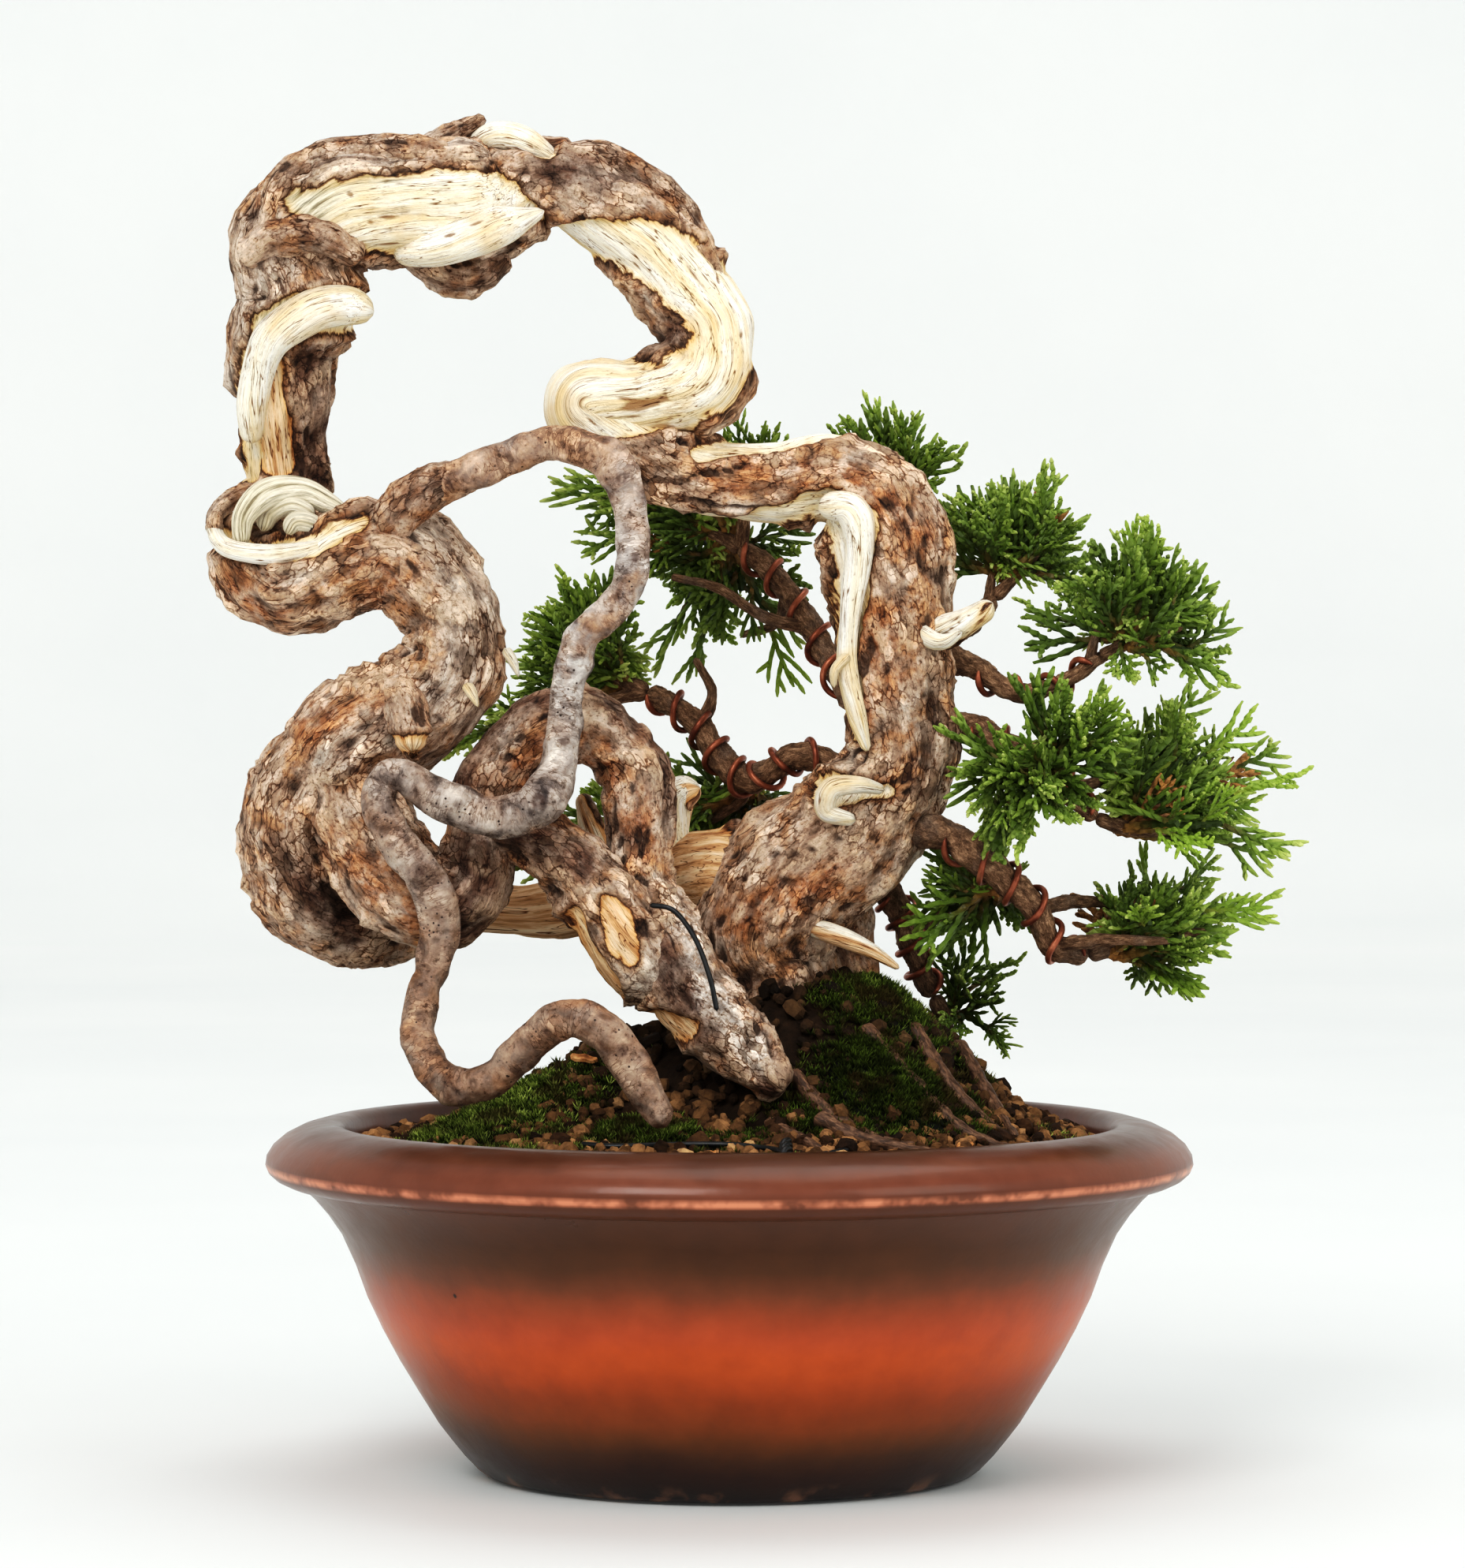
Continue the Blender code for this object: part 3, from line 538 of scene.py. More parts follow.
TRUNK_INNER = [
    (-58, -9, 125, 5.0), (-63, -10, 118, 7.4), (-60, -12, 108, 7.8), (-55, -14, 100, 8.0), (-49, -15, 96, 7.2),
    (-43, -13, 99, 6.0), (-41, -10, 108, 5.5), (-38, -9, 116, 5.9), (-31, -9, 123, 5.6),
    (-23, -9, 124, 5.5), (-16, -10, 117, 5.5), (-15, -11, 108, 5.3), (-15, -13, 99, 5.2),
    (-12, -16, 90, 7.0), (-7, -19, 82, 7.0), (0, -22, 74, 5.8), (4.5, -25, 69.5, 4.2),
    (7.5, -27, 66.8, 2.5), (9, -27.5, 65.6, 1.2),
]
TRUNK_FRONT = [
    (-42, -9, 109, 3.9), (-34, -14, 107, 4.3), (-27, -17, 103, 4.8), (-21, -18, 96, 6.0),
    (-16, -18, 88, 6.8), (-10, -19, 81, 7.1),
]
TRUNK_BACK_ROOT = [(19, 8, 96, 5.0), (20, 11, 88, 4.0), (21, 13, 78, 4.0), (21, 14, 68, 3.6)]
TORN_SIDE = [[(-76.5, 187, 2.2), (-77, 179, 2.7), (-75.5, 169, 2.8)]]
TORN_END = [[(-44, 94, 6), (-30, 94, 6), (-18, 96, 7), (-6, 99, 9)]]

def strand(line, faces_round, step, twist=0, dead=(), rust=(), dark=(), grey=(), lime=(), torn=()):
    """One strand of the trunk: its line, faces round it, step in mm and twist in turns per 100 mm. Each mark says
    where the wood is dead, the bark rusty and so on: painted strips, or one number for the whole strand."""
    return line, faces_round, step, twist, dead, rust, dark, grey, lime, torn


trunk_strands = [
    # the main limb, the two it parts into, the low front limb and the root behind
    strand(
        TRUNK_MAIN, 72, 0.93, 0.14, dead=DEAD_WOOD, rust=RUST_BARK, dark=DARK_BARK_AND_PAINTED_SHADE, grey=GREY_BARK_AND_PAINTED_LIGHT, torn=TORN_SIDE,
    ),
    strand(TRUNK_OUTER, 48, 0.85, 0.2, rust=RUST_BARK, dark=DARK_BARK_AND_PAINTED_SHADE, torn=TORN_END),
    strand(
        TRUNK_INNER, 44, 0.85, 0.2,
        rust=[
            [(-38, 115, 2.1), (-30, 120, 3.1), (-22, 121, 3.4), (-16, 113, 2.6), (-15, 104, 2.6)],
            [(-66, 108, 2.6), (-60, 101, 3.1), (-52, 94, 2.6)],
        ],
        dark=[
            [(-44, 93, 4), (-41, 106, 4)],
            [
                (-45.5, 111, 1.6), (-41, 121, 1.8), (-32, 128.5, 1.8), (-22, 129, 1.8), (-12, 122, 1.6),
                (-9.5, 111, 1.3),
            ],
            [(6.5, 68, 2.6), (9, 66, 2.2)], [(-14, 93, 2.6), (-9, 84, 2.8), (-3, 75, 2.4)],
        ],
        grey=[[(-8, 84, 3), (4, 71, 2.4)]],
        lime=[[(-10, 96, 1.4), (-6, 89, 1.6), (-3, 81, 1.9), (3, 73, 1.9), (6, 69, 1.0)]],
        torn=[[(-12, 77, 1.8), (-7, 75, 2.1)]],
    ),
    strand(
        TRUNK_FRONT, 44, 0.85, 0.2, dark=[[(-40, 108, 2.6), (-31, 106, 3.4), (-24, 102, 2.9)]],
        grey=[[(-18, 90, 3), (-12, 82, 3.4)]],
        torn=[[(-20, 96, 1.6), (-18, 91, 2.4), (-16, 87, 1.8)], [(-25, 94, 1.3), (-22, 87, 1.6), (-18, 81, 1.3)]],
    ),
    strand(TRUNK_BACK_ROOT, 24, 1.0, 0.4, rust=0.4),
    # snags and cut stubs
    strand(
        [(-55, -12, 131, 3.4), (-53, -19, 127, 2.9), (-52, -21, 121, 2.3), (-51.8, -21.4, 120.2, 1.2)], 24, 0.7,
        grey=0.4, torn=[[(-54, 121.6, 1.7), (-50, 121.6, 1.7)]],
    ),
    strand(
        [(30, 0, 140, 3.4), (35, -5, 140.6, 2.7), (39.5, -8, 142.4, 2.2), (43.6, -9, 144.9, 1.9)], 32, 0.35, 1.2,
        dead=0.75, torn=0.35,
    ),
    strand(
        [(30, -5, 141.5, 1.6), (34.6, -9, 138.6, 1.5), (38.5, -9.5, 140.2, 0.7)], 20, 0.4, 1.0, dead=0.8, torn=0.4,
    ),
    strand(
        [(-11, 8, 101, 4.4), (-10, 8, 108, 3.4), (-8.5, 7, 112.6, 3.2), (-5, 6, 114, 2.6)], 36, 0.4, 1.0, dead=0.6,
        torn=0.75,
    ),
    strand([(-21, 8, 97, 3.6), (-23, 6, 106, 2.6), (-25, 5, 113, 1.2)], 32, 0.4, 1.0, dead=0.5, torn=0.7),
    strand([(-54, 1, 219, 2.4), (-48, 1, 222, 1.9), (-43.5, 1, 224.6, 1.1), (-40.8, 1, 226, 0.4)], 20, 0.6, dark=0.4),
    strand(
        [(-43, 3, 221.5, 2.0), (-39, 0, 223.2, 2.3), (-34, -1, 222, 2.3), (-29, 0, 219.2, 1.2)], 24, 0.6, 0.4,
        dead=1.0,
    ),
    strand(
        [(-49.5, -2, 218.4, 1.2), (-46.5, -4.6, 218.9, 2.4), (-43.5, -4.8, 219.2, 2.4), (-40.5, -2, 219, 1.2)], 24,
        0.6, grey=1.0,
    ),
    # the rough collar the aerial root grows out of
    strand(
        [
            (-60, -4, 153, 3.0), (-56, -10.5, 158, 3.9), (-51.5, -15.5, 162, 3.7), (-46.5, -17.6, 164.4, 3.2),
            (-41, -18, 166.5, 2.2),
        ],
        28, 0.6, 0.6, rust=0.35, dark=0.25,
    ),
    # rolled lips of living bark at the edges of the dead wood
    strand([(-54, 1, 203.5, 2), (-48, 0, 200.4, 3), (-42, 0, 200, 2.9), (-37, 1, 203.1, 1.7)], 28, 0.7, dark=0.5),
    strand(
        [
            (-29.7, 0, 219.5, 1.3), (-21.8, 0, 219.8, 1.7), (-14.5, 0, 216.6, 1.7), (-8.3, 0, 211.3, 1.7),
            (-4.6, 0, 204.4, 1.6), (-1.7, 0, 198.2, 0.8),
        ],
        20, 0.7, dark=0.35,
    ),
    strand(
        [
            (-77.3, -6, 205.9, 0.9), (-74.1, -6, 214.4, 2), (-67.6, -5, 219.3, 2.1), (-58.4, -5, 220.4, 2),
            (-49.2, -5, 219.7, 2.2), (-42.7, -5, 218, 1.3),
        ],
        20, 0.7, dark=0.2,
    ),
    strand(
        [(-80.8, -4, 202.1, 2), (-75.3, -7, 205.8, 2.6), (-67.4, -8, 205.7, 2.4), (-61, -6, 201.9, 1.4)], 24, 0.7,
        dark=0.3,
    ),
    # pale dead-wood folds
    strand(
        [
            (-80, 2, 172, 1.5), (-79.4, -2, 180, 2.4), (-76.5, -5.5, 188.5, 3.2), (-69.4, -7, 193.3, 3.7),
            (-63.6, -5, 194.4, 3.3), (-59.2, -4, 193.3, 1.8),
        ],
        32, 0.7, 0.6, dead=1.0,
    ),
    strand(
        [
            (-56, -1, 204, 3.0), (-49, -5, 204, 3.6), (-42.6, -7, 205.6, 3.6), (-37.3, -7.6, 207.6, 3.2),
            (-30.8, -6, 210.1, 0.7),
        ],
        28, 0.7, 0.4, dead=1.0,
    ),
    strand(
        [
            (-81, -7, 154.5, 1.3), (-80.5, -6.5, 159.5, 1.9), (-76.8, -5, 163.2, 2.3), (-71.3, -4, 163.8, 2.2),
            (-66.6, -5, 161.4, 1.8), (-62.5, -7, 158.8, 1.0),
        ],
        24, 0.6, 0.8, dead=0.95, grey=1.0,
    ),
    strand(
        [(-78, -3, 157, 1.6), (-76.2, -3.5, 160.0, 1.7), (-72.6, -5, 161.2, 1.6), (-69, -6, 159.6, 1.3)], 20, 0.6,
        0.8, dead=0.95, grey=0.7,
    ),
    strand(
        [(-73.5, -7.5, 156.5, 1.4), (-71.6, -8.5, 158.4, 1.8), (-68.8, -8.5, 157.8, 1.7), (-67.2, -8.5, 155.8, 0.9)],
        20, 0.6, 0.8, dead=0.95, grey=0.8,
    ),
    strand(
        [(-85.8, -4, 156.5, 1.1), (-85.4, -1, 160.2, 1.1), (-81.5, 2, 163.4, 1.0), (-76, 4, 164.2, 0.7)], 16, 0.6,
        dark=0.3,
    ),
    strand(
        [
            (-86.0, 3, 160.5, 1.1), (-86.0, -3, 157.2, 1.3), (-83.1, -8, 153.9, 1.6), (-75.1, -10, 152.8, 1.7),
            (-65.9, -11, 154.6, 1.4), (-57.3, -12, 158.8, 0.8),
        ],
        20, 0.7, 0.4, dead=1.0,
    ),
    strand(
        [
            (15.1, -6, 161.3, 2), (20.5, -9, 159.9, 2.9), (21.6, -9, 153.4, 2.5), (20.3, -8, 144.2, 2.1),
            (19.5, -7, 135.1, 1.7), (21.1, -7, 126.6, 1.4), (22.9, -8, 120.4, 0.5),
        ],
        28, 0.7, 0.5, dead=1.0,
    ),
    strand([(20, -8, 136.4, 1), (17.6, -9, 133.8, 0.8), (17.4, -9, 130.9, 0.4)], 14, 0.6, dead=1.0),
    strand(
        [
            (25.5, -9, 113.9, 0.7), (21.5, -11, 114.8, 1.4), (17, -11, 114.2, 1.8), (16.1, -10, 110.5, 1.6),
            (20.9, -10, 108.9, 1),
        ],
        20, 0.6, 0.4, dead=0.8,
    ),
    strand([(-43.2, -16, 131.4, 1), (-42.1, -18, 129.6, 0.8), (-41.2, -19, 127.8, 0.2)], 12, 0.5, dead=0.9),
    strand([(-37.2, -10, 137.4, 1), (-35.6, -11, 134.8, 0.8), (-34.8, -12, 132.7, 0.2)], 12, 0.5, dead=0.9),
    strand(
        [(13, -1, 91, 1.4), (18.5, -5, 89.4, 1.6), (23.5, -6, 87.2, 1.2), (28.2, -6, 84.2, 0.4)], 24, 0.4, 1.0,
        dead=0.45, torn=0.8,
    ),
]

trunk_skins = []
trunk_marks = {"dead": [], "rust": [], "dark": [], "grey": [], "lime": [], "torn": [], "hollow": [], "raised": []}
trunk_grain = []
for number, (points, round_count, step, twist, *marks) in enumerate(trunk_strands):
    line, run = strand_line(points, step)
    along, across, front = strand_axes(line)
    turn = np.linspace(0, math.tau, round_count, endpoint=False)
    lean = turn[None, :] + math.tau * twist / 100 * run[:, None]
    r = line[:, 3][:, None]
    out_x, out_y = np.sin(turn)[None, :, None], np.cos(turn)[None, :, None]
    outward = across[:, None, :] * out_x + front[:, None, :] * out_y * 0.92
    base = line[:, None, :3] + outward * r[:, :, None]
    wide = np.maximum(r, 2.5)
    grain = np.stack([np.cos(lean) * wide, np.sin(lean) * wide, np.broadcast_to(run[:, None], lean.shape)], -1)
    big = min(1.0, float(line[:, 3].max()) / 6)
    x, z = base[..., 0], base[..., 2]
    values = []
    for order, mark in enumerate(marks):
        edged = order in (0, 5)
        if isinstance(mark, (int, float)):
            wave = lumps(grain * (1, 1, 0.4), 4.0, 3 + order) * (2.5 if edged else 0.35) if 0 < mark < 1 else 0
            if edged:
                values.append(np.clip((mark - 0.5) * 8 + wave, -4, 4))
            else:
                values.append(np.clip(np.full(x.shape, float(mark)) + wave, 0, 1))
        elif mark:
            inside = reach(x, z, mark, 5 + order, 1.0 if edged else 1.6)
            values.append(inside if edged else tidy_step(inside, -1.6, 1.6))
        else:
            values.append(np.full(x.shape, -4.0 if edged else 0.0))
    dead, rust, dark, grey, lime, torn = [np.broadcast_to(value, x.shape) for value in values]
    edge = np.maximum(dead, torn)
    bare = tidy_step(edge, -0.45, 0.45)
    lip = np.exp(-(((edge + 1.0) / 0.8) ** 2)) * 0.75 - np.exp(-(((edge - 0.5) / 0.5) ** 2)) * 0.25
    # long ridges that follow the grain, then lumpy flaking bark on the living parts and fine grooves on the dead wood
    ridge = lumps(grain * (1, 1, 0.10), 5.2, 11 + number) * 0.62 + lumps(grain * (1, 1, 0.14), 2.6, 12) * 0.26
    swell = lumps(base, 9.0, 2) * 0.7
    bumps = lumps(base, 3.2, 21) * 0.42 + lumps(grain * (1, 1, 0.55), 2.0, 22) * 0.34 + lumps(base, 1.5, 26) * 0.22
    scabby = tidy_step(lumps(base, 11.0, 27), -0.35, 0.25)
    flake = tidy_step(lumps(grain * (1, 1, 0.42), 2.8, 24), -0.05, 0.08) * (0.28 + 0.55 * scabby)
    flake += np.maximum(0, lumps(base, 1.8, 28) - 0.2) * 1.1 * scabby
    crack = tidy_step(0.07 - np.abs(lumps(grain * (1, 1, 0.13), 4.2, 23)), 0.0, 0.07)
    crack *= tidy_step(lumps(base, 8.0, 25), -0.1, 0.25)
    bark_relief = 0.35 + bumps + flake - crack * 0.75
    groove = lumps(grain * (1, 1, 0.05), 1.7, 31) * 0.22 + lumps(grain * (1, 1, 0.06), 0.9, 32) * 0.07
    split = tidy_step(0.045 - np.abs(lumps(grain * (1, 1, 0.045), 3.2, 33)), 0.0, 0.045)
    split *= tidy_step(lumps(base, 7.0, 34), -0.15, 0.2)
    wood_relief = groove - split * 0.55
    relief = ridge * (0.45 + 0.55 * big) + swell * big
    relief += (bark_relief + lip) * (1 - bare) * (0.35 + 0.65 * big)
    relief += (wood_relief + lip) * bare * (0.4 + 0.6 * big)
    # how raised the surface is, which the finish turns into painted shade in the low places and painted highlights on
    # the high ones
    raised = np.where(bare > 0.5, groove * 2.2 - split, bumps * 0.9 + flake - 0.16 - crack * 1.2)
    hollow = np.zeros(x.shape)
    if number == 0:
        for kx, kz, kr in KNOTS:
            away = np.hypot(x - kx, z - kz)
            seen = np.clip(out_y[..., 0] * 2, 0, 1)
            relief += (np.exp(-(((away - kr) / 0.42) ** 2)) * 0.55 - tidy_step(kr - away, -0.2, 0.5) * 0.5) * seen
            # the sunken middle of each knot, marked for painted shade
            hollow = np.maximum(hollow, tidy_step(kr * 0.7 - away, -0.3, 0.3) * seen)
    points, faces = sheathe(base + outward * relief[:, :, None], along, line[:, 3])
    trunk_skins.append((points, faces))
    for name, value in zip(trunk_marks, (dead, rust, dark, grey, lime, torn, hollow, raised)):
        trunk_marks[name].append(with_ends(value))
    trunk_grain.append(grain_with_ends(grain))

trunk = grown(
    "juniper_trunk", *gathered(trunk_skins),
    {name: np.concatenate(value) for name, value in trunk_marks.items()}, np.concatenate(trunk_grain),
)

PLAIN = (1, 1, 1, 1)  # multiplied in, it leaves a colour as it is


def vein(low, dark_from, dark_to, high, colour):
    """Ramp stops for a thin line of one colour where a pattern crosses its middle."""
    return [(low, PLAIN), (dark_from, colour), (dark_to, colour), (high, PLAIN)]


def shaken(finish, source, scale, amount, detail=2.0):
    """Coordinates pushed about by noise, so that a pattern's edges wander."""
    noise = finish.add("TexNoise")
    noise.inputs["Scale"].default_value = scale
    noise.inputs["Detail"].default_value = detail
    finish.wire(source, noise.inputs["Vector"])
    push = finish.add("VectorMath", operation="MULTIPLY_ADD")
    finish.wire(noise.outputs["Color"], push.inputs[0])
    push.inputs[1].default_value = (amount, amount, amount)
    finish.wire(source, push.inputs[2])
    return push.outputs["Vector"]


wood = Finish("trunk_bark_and_dead_wood")
grain = wood.own("grain", "Vector")
spot = wood.place()
raised = wood.own("raised")
long_grain = wood.stretched(grain, (1, 1, 0.05))
mid_grain = wood.stretched(grain, (1, 1, 0.30))
short_grain = wood.stretched(grain, (1, 1, 0.50))
broad = wood.grit(spot, 85.0, 3.0, 0.6)
patchy = wood.grit(spot, 190.0, 4.0, 0.65)
# dead wood: bleached nearly white with ochre patches, painted shade in brown down its grooves, and sparse brown
# splits along the grain
tone = wood.ramp(wood.grit(long_grain, 0.42, 4.0, 0.6), [
    (0.30, paint(226, 200, 152)), (0.41, paint(244, 228, 194)), (0.51, paint(252, 245, 226)),
    (0.66, paint(255, 252, 244)),
])
tone = wood.blend(wood.level(broad, 0.52, 0.66, 0.0, 0.6), tone, paint(238, 208, 154))
# painted shade: brown where the wood's relief is low
tone = wood.blend(wood.level(raised, -0.5, -0.9, 0.0, 0.8), tone, paint(150, 106, 64))
split = wood.ramp(wood.grit(long_grain, 0.85, 2.0, 0.5, 0.2), vein(0.486, 0.495, 0.501, 0.511, (0.24, 0.13, 0.06, 1)))
dead_look = wood.blend(wood.level(patchy, 0.38, 0.50, 0.0, 1.0), tone, split, "MULTIPLY")
fine_grit = wood.grit(wood.stretched(grain, (1, 1, 0.035)), 2.2, 2.0, 0.5, 0.1)
fine_split = wood.ramp(fine_grit, vein(0.484, 0.496, 0.502, 0.514, (0.46, 0.33, 0.22, 1)))
dead_look = wood.blend(
    wood.level(wood.grit(spot, 260.0, 3.0, 0.6), 0.40, 0.52, 0.0, 0.9), dead_look, fine_split, "MULTIPLY",
)
hair = wood.ramp(wood.grit(long_grain, 3.2, 4.0, 0.65), [
    (0.30, (0.46, 0.34, 0.22, 1)), (0.40, (0.92, 0.86, 0.78, 1)), (0.48, PLAIN),
])
dead_look = wood.blend(0.85, dead_look, hair, "MULTIPLY")
# the old swirls have gone grey
weathered = wood.ramp(wood.grit(long_grain, 1.9, 4.0, 0.7), [
    (0.36, paint(92, 82, 58)), (0.43, paint(178, 166, 136)), (0.52, paint(230, 221, 196)),
    (0.66, paint(251, 245, 231)),
])
dead_look = wood.blend(wood.sum(wood.own("grey"), 0.8, "MULTIPLY"), dead_look, weathered)
# torn wood: fresher, orange
torn_look = wood.ramp(wood.grit(long_grain, 0.7, 4.0, 0.65), [
    (0.30, paint(150, 102, 64)), (0.43, paint(220, 174, 128)), (0.54, paint(244, 212, 174)),
    (0.70, paint(254, 236, 210)),
])
torn_look = wood.blend(1.0, torn_look, split, "MULTIPLY")
torn_look = wood.blend(1.0, torn_look, hair, "MULTIPLY")
# living bark: pinkish grey-brown, tan and orange where it flaked off, dark in pits and cracks
bark_look = wood.ramp(wood.grit(mid_grain, 0.42, 5.0, 0.62), [
    (0.28, paint(108, 82, 66)), (0.40, paint(168, 140, 119)), (0.50, paint(203, 178, 158)),
    (0.62, paint(224, 204, 187)), (0.76, paint(243, 231, 220)),
])
tan_look = wood.ramp(wood.grit(mid_grain, 0.7, 5.0, 0.65), [
    (0.30, paint(112, 72, 42)), (0.44, paint(170, 120, 78)), (0.56, paint(204, 156, 112)),
    (0.72, paint(234, 198, 160)),
])
bark_look = wood.blend(wood.level(patchy, 0.47, 0.60, 0.0, 0.8), bark_look, tan_look)
grey_look = wood.ramp(wood.grit(mid_grain, 0.6, 5.0, 0.65), [
    (0.30, paint(102, 88, 78)), (0.44, paint(182, 164, 150)), (0.62, paint(238, 228, 216)),
])
bark_look = wood.blend(wood.level(broad, 0.53, 0.64, 0.0, 0.6), bark_look, grey_look)
rust_look = wood.ramp(wood.grit(mid_grain, 0.7, 5.0, 0.65), [
    (0.28, paint(108, 64, 38)), (0.42, paint(164, 106, 66)), (0.56, paint(200, 146, 104)),
    (0.74, paint(232, 192, 154)),
])
bark_look = wood.blend(
    wood.sum(wood.own("rust"), wood.level(patchy, 0.38, 0.56, 0.05, 0.75), "MULTIPLY"), bark_look, rust_look,
)
# grey bark; on the trunk's left side these strips are painted light
bark_look = wood.blend(wood.sum(wood.own("grey"), 0.75, "MULTIPLY"), bark_look, grey_look)
dark_look = wood.ramp(wood.grit(mid_grain, 0.6, 5.0, 0.65), [
    (0.28, paint(44, 28, 24)), (0.48, paint(96, 68, 56)), (0.68, paint(146, 116, 98)),
])
bark_look = wood.blend(
    wood.sum(wood.own("dark"), wood.level(patchy, 0.36, 0.54, 0.35, 0.9), "MULTIPLY"), bark_look, dark_look,
)
lime_here = wood.sum(wood.own("lime"), wood.level(wood.grit(spot, 700.0, 4.0, 0.7), 0.40, 0.56), "MULTIPLY")
bark_look = wood.blend(lime_here, bark_look, paint(240, 232, 224))
# painted shade, dark brown in the low places of the bark, and painted highlights, pale on its raised flakes
bark_look = wood.blend(wood.level(raised, -0.05, -0.6, 0.0, 0.85), bark_look, paint(58, 34, 20))
bark_look = wood.blend(wood.level(raised, 0.25, 0.75, 0.0, 0.45), bark_look, paint(232, 208, 182))
# flakes of bark, each its own shade, with dark gaps between them
plate_place = shaken(wood, short_grain, 0.8, 1.5, 3.0)
plates = wood.cells(plate_place, 0.8, output="Color")
plate_edge = wood.cells(plate_place, 0.8, feature="DISTANCE_TO_EDGE")
plate_look = wood.ramp(plates, [
    (0.22, (0.50, 0.44, 0.38, 1)), (0.40, (0.86, 0.82, 0.78, 1)), (0.55, PLAIN), (0.72, (1.32, 1.30, 1.26, 1)),
])
plate_look = wood.blend(
    1.0, plate_look,
    wood.ramp(plate_edge, [(0.0, (0.16, 0.09, 0.05, 1)), (0.035, (0.40, 0.28, 0.20, 1)), (0.075, PLAIN)]), "MULTIPLY",
)
bark_look = wood.blend(
    wood.level(wood.grit(spot, 120.0, 3.0, 0.6), 0.42, 0.58, 0.15, 0.95), bark_look, plate_look, "MULTIPLY",
)
# pits, dust and long cracks
pits = wood.grit(short_grain, 1.7, 4.0, 0.70, 0.25)
pitted = wood.ramp(pits, [
    (0.30, (0.10, 0.05, 0.03, 1)), (0.36, (0.32, 0.20, 0.13, 1)), (0.42, (0.84, 0.78, 0.72, 1)), (0.50, PLAIN),
    (0.60, PLAIN), (0.68, (1.38, 1.32, 1.24, 1)),
])
pitted = wood.blend(wood.level(wood.grit(spot, 150.0, 3.0, 0.6), 0.38, 0.58, 0.25, 1.0), PLAIN, pitted)
bark_look = wood.blend(1.0, bark_look, pitted, "MULTIPLY")
dust = wood.ramp(wood.grit(spot, 1500.0, 3.0, 0.7), [
    (0.34, (0.42, 0.34, 0.28, 1)), (0.46, PLAIN), (0.58, PLAIN), (0.70, (1.35, 1.3, 1.25, 1)),
])
bark_look = wood.blend(0.85, bark_look, dust, "MULTIPLY")
cracks = wood.ramp(wood.grit(mid_grain, 0.42, 2.0, 0.5, 0.6), vein(0.480, 0.495, 0.503, 0.516, (0.16, 0.09, 0.06, 1)))
bark_look = wood.blend(wood.level(patchy, 0.50, 0.58, 0.0, 0.9), bark_look, cracks, "MULTIPLY")
# where living bark meets bare wood: a ragged edge with a dark rim
edge_warp = wood.level(wood.grit(mid_grain, 1.1, 3.0, 0.6), 0.3, 0.7, -0.30, 0.30)
torn_in = wood.sum(wood.own("torn"), edge_warp)
dead_in = wood.sum(wood.own("dead"), edge_warp)
look = wood.blend(wood.level(torn_in, -0.08, 0.08), bark_look, torn_look)
look = wood.blend(wood.level(dead_in, -0.08, 0.08), look, dead_look)
rim_in = wood.sum(dead_in, torn_in, "MAXIMUM")
rim = wood.ramp(wood.level(rim_in, -1.0, 3.0), [
    (0.0, PLAIN), (0.17, (0.75, 0.62, 0.50, 1)), (0.235, (0.16, 0.09, 0.05, 1)), (0.265, (0.30, 0.17, 0.09, 1)),
    (0.30, (0.88, 0.72, 0.50, 1)), (0.42, (0.98, 0.93, 0.84, 1)), (0.6, PLAIN), (1.0, PLAIN),
])
look = wood.blend(1.0, look, rim, "MULTIPLY")
# painted shade in the sunken middle of each knot
look = wood.blend(wood.own("hollow"), look, paint(62, 38, 26))
relief = wood.bump(plates, 0.0004, 0.5)
relief = wood.bump(pits, 0.0007, 0.6, relief)
relief = wood.bump(wood.grit(spot, 900.0, 4.0, 0.65), 0.0002, 0.5, relief)
relief = wood.bump(wood.grit(long_grain, 1.6, 4.0, 0.65), 0.0006, 0.5, relief)
wood.done(look, wood.level(wood.grit(spot, 300.0), 0.3, 0.7, 0.55, 0.8), relief, IOR=1.45, Specular_IOR_Level=0.4)
trunk.data.materials.append(wood.material)
settle(trunk, "juniper_trunk")
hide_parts("trunk")
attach(trunk, "root")

# ---------------------------------------------------------------- Aerial root
# A slender living root that left the trunk high up, wandered down in the air
# and reached the soil. Its thin smooth bark is grey with pinkish blotches.
AERIAL_ROOT = [
    (-52, -14.5, 161.5, 3.2), (-45, -18, 165, 3.1), (-38, -18, 168, 3.0), (-30, -18, 171, 2.8),
    (-23, -20, 170, 3.0), (-18, -21, 166, 3.2), (-16, -21, 158, 3.0), (-16, -22, 150, 2.8),
    (-19, -22, 144, 2.8), (-24, -22, 139, 2.8), (-26, -22, 132, 2.8), (-27, -22, 125, 3.0),
    (-28, -24, 118, 3.2), (-31, -27, 112, 3.6), (-39, -27, 110, 3.3), (-47, -28, 113, 3.2),
    (-54, -28, 117, 2.8), (-57, -28, 113, 2.8), (-54, -29, 106, 2.8), (-49, -29, 100, 3.2),
    (-47, -28, 93, 3.2), (-48, -28, 86, 2.9), (-50, -30, 80, 2.7), (-50, -33, 73, 2.9),
    (-45, -36, 67, 3.0), (-38, -38, 68, 2.8), (-32, -40, 74, 3.2), (-26, -42, 78, 3.3),
    (-20, -43, 76, 3.4), (-16, -44, 71, 3.1), (-13, -45, 66, 2.8), (-10, -46, 61, 2.1),
]
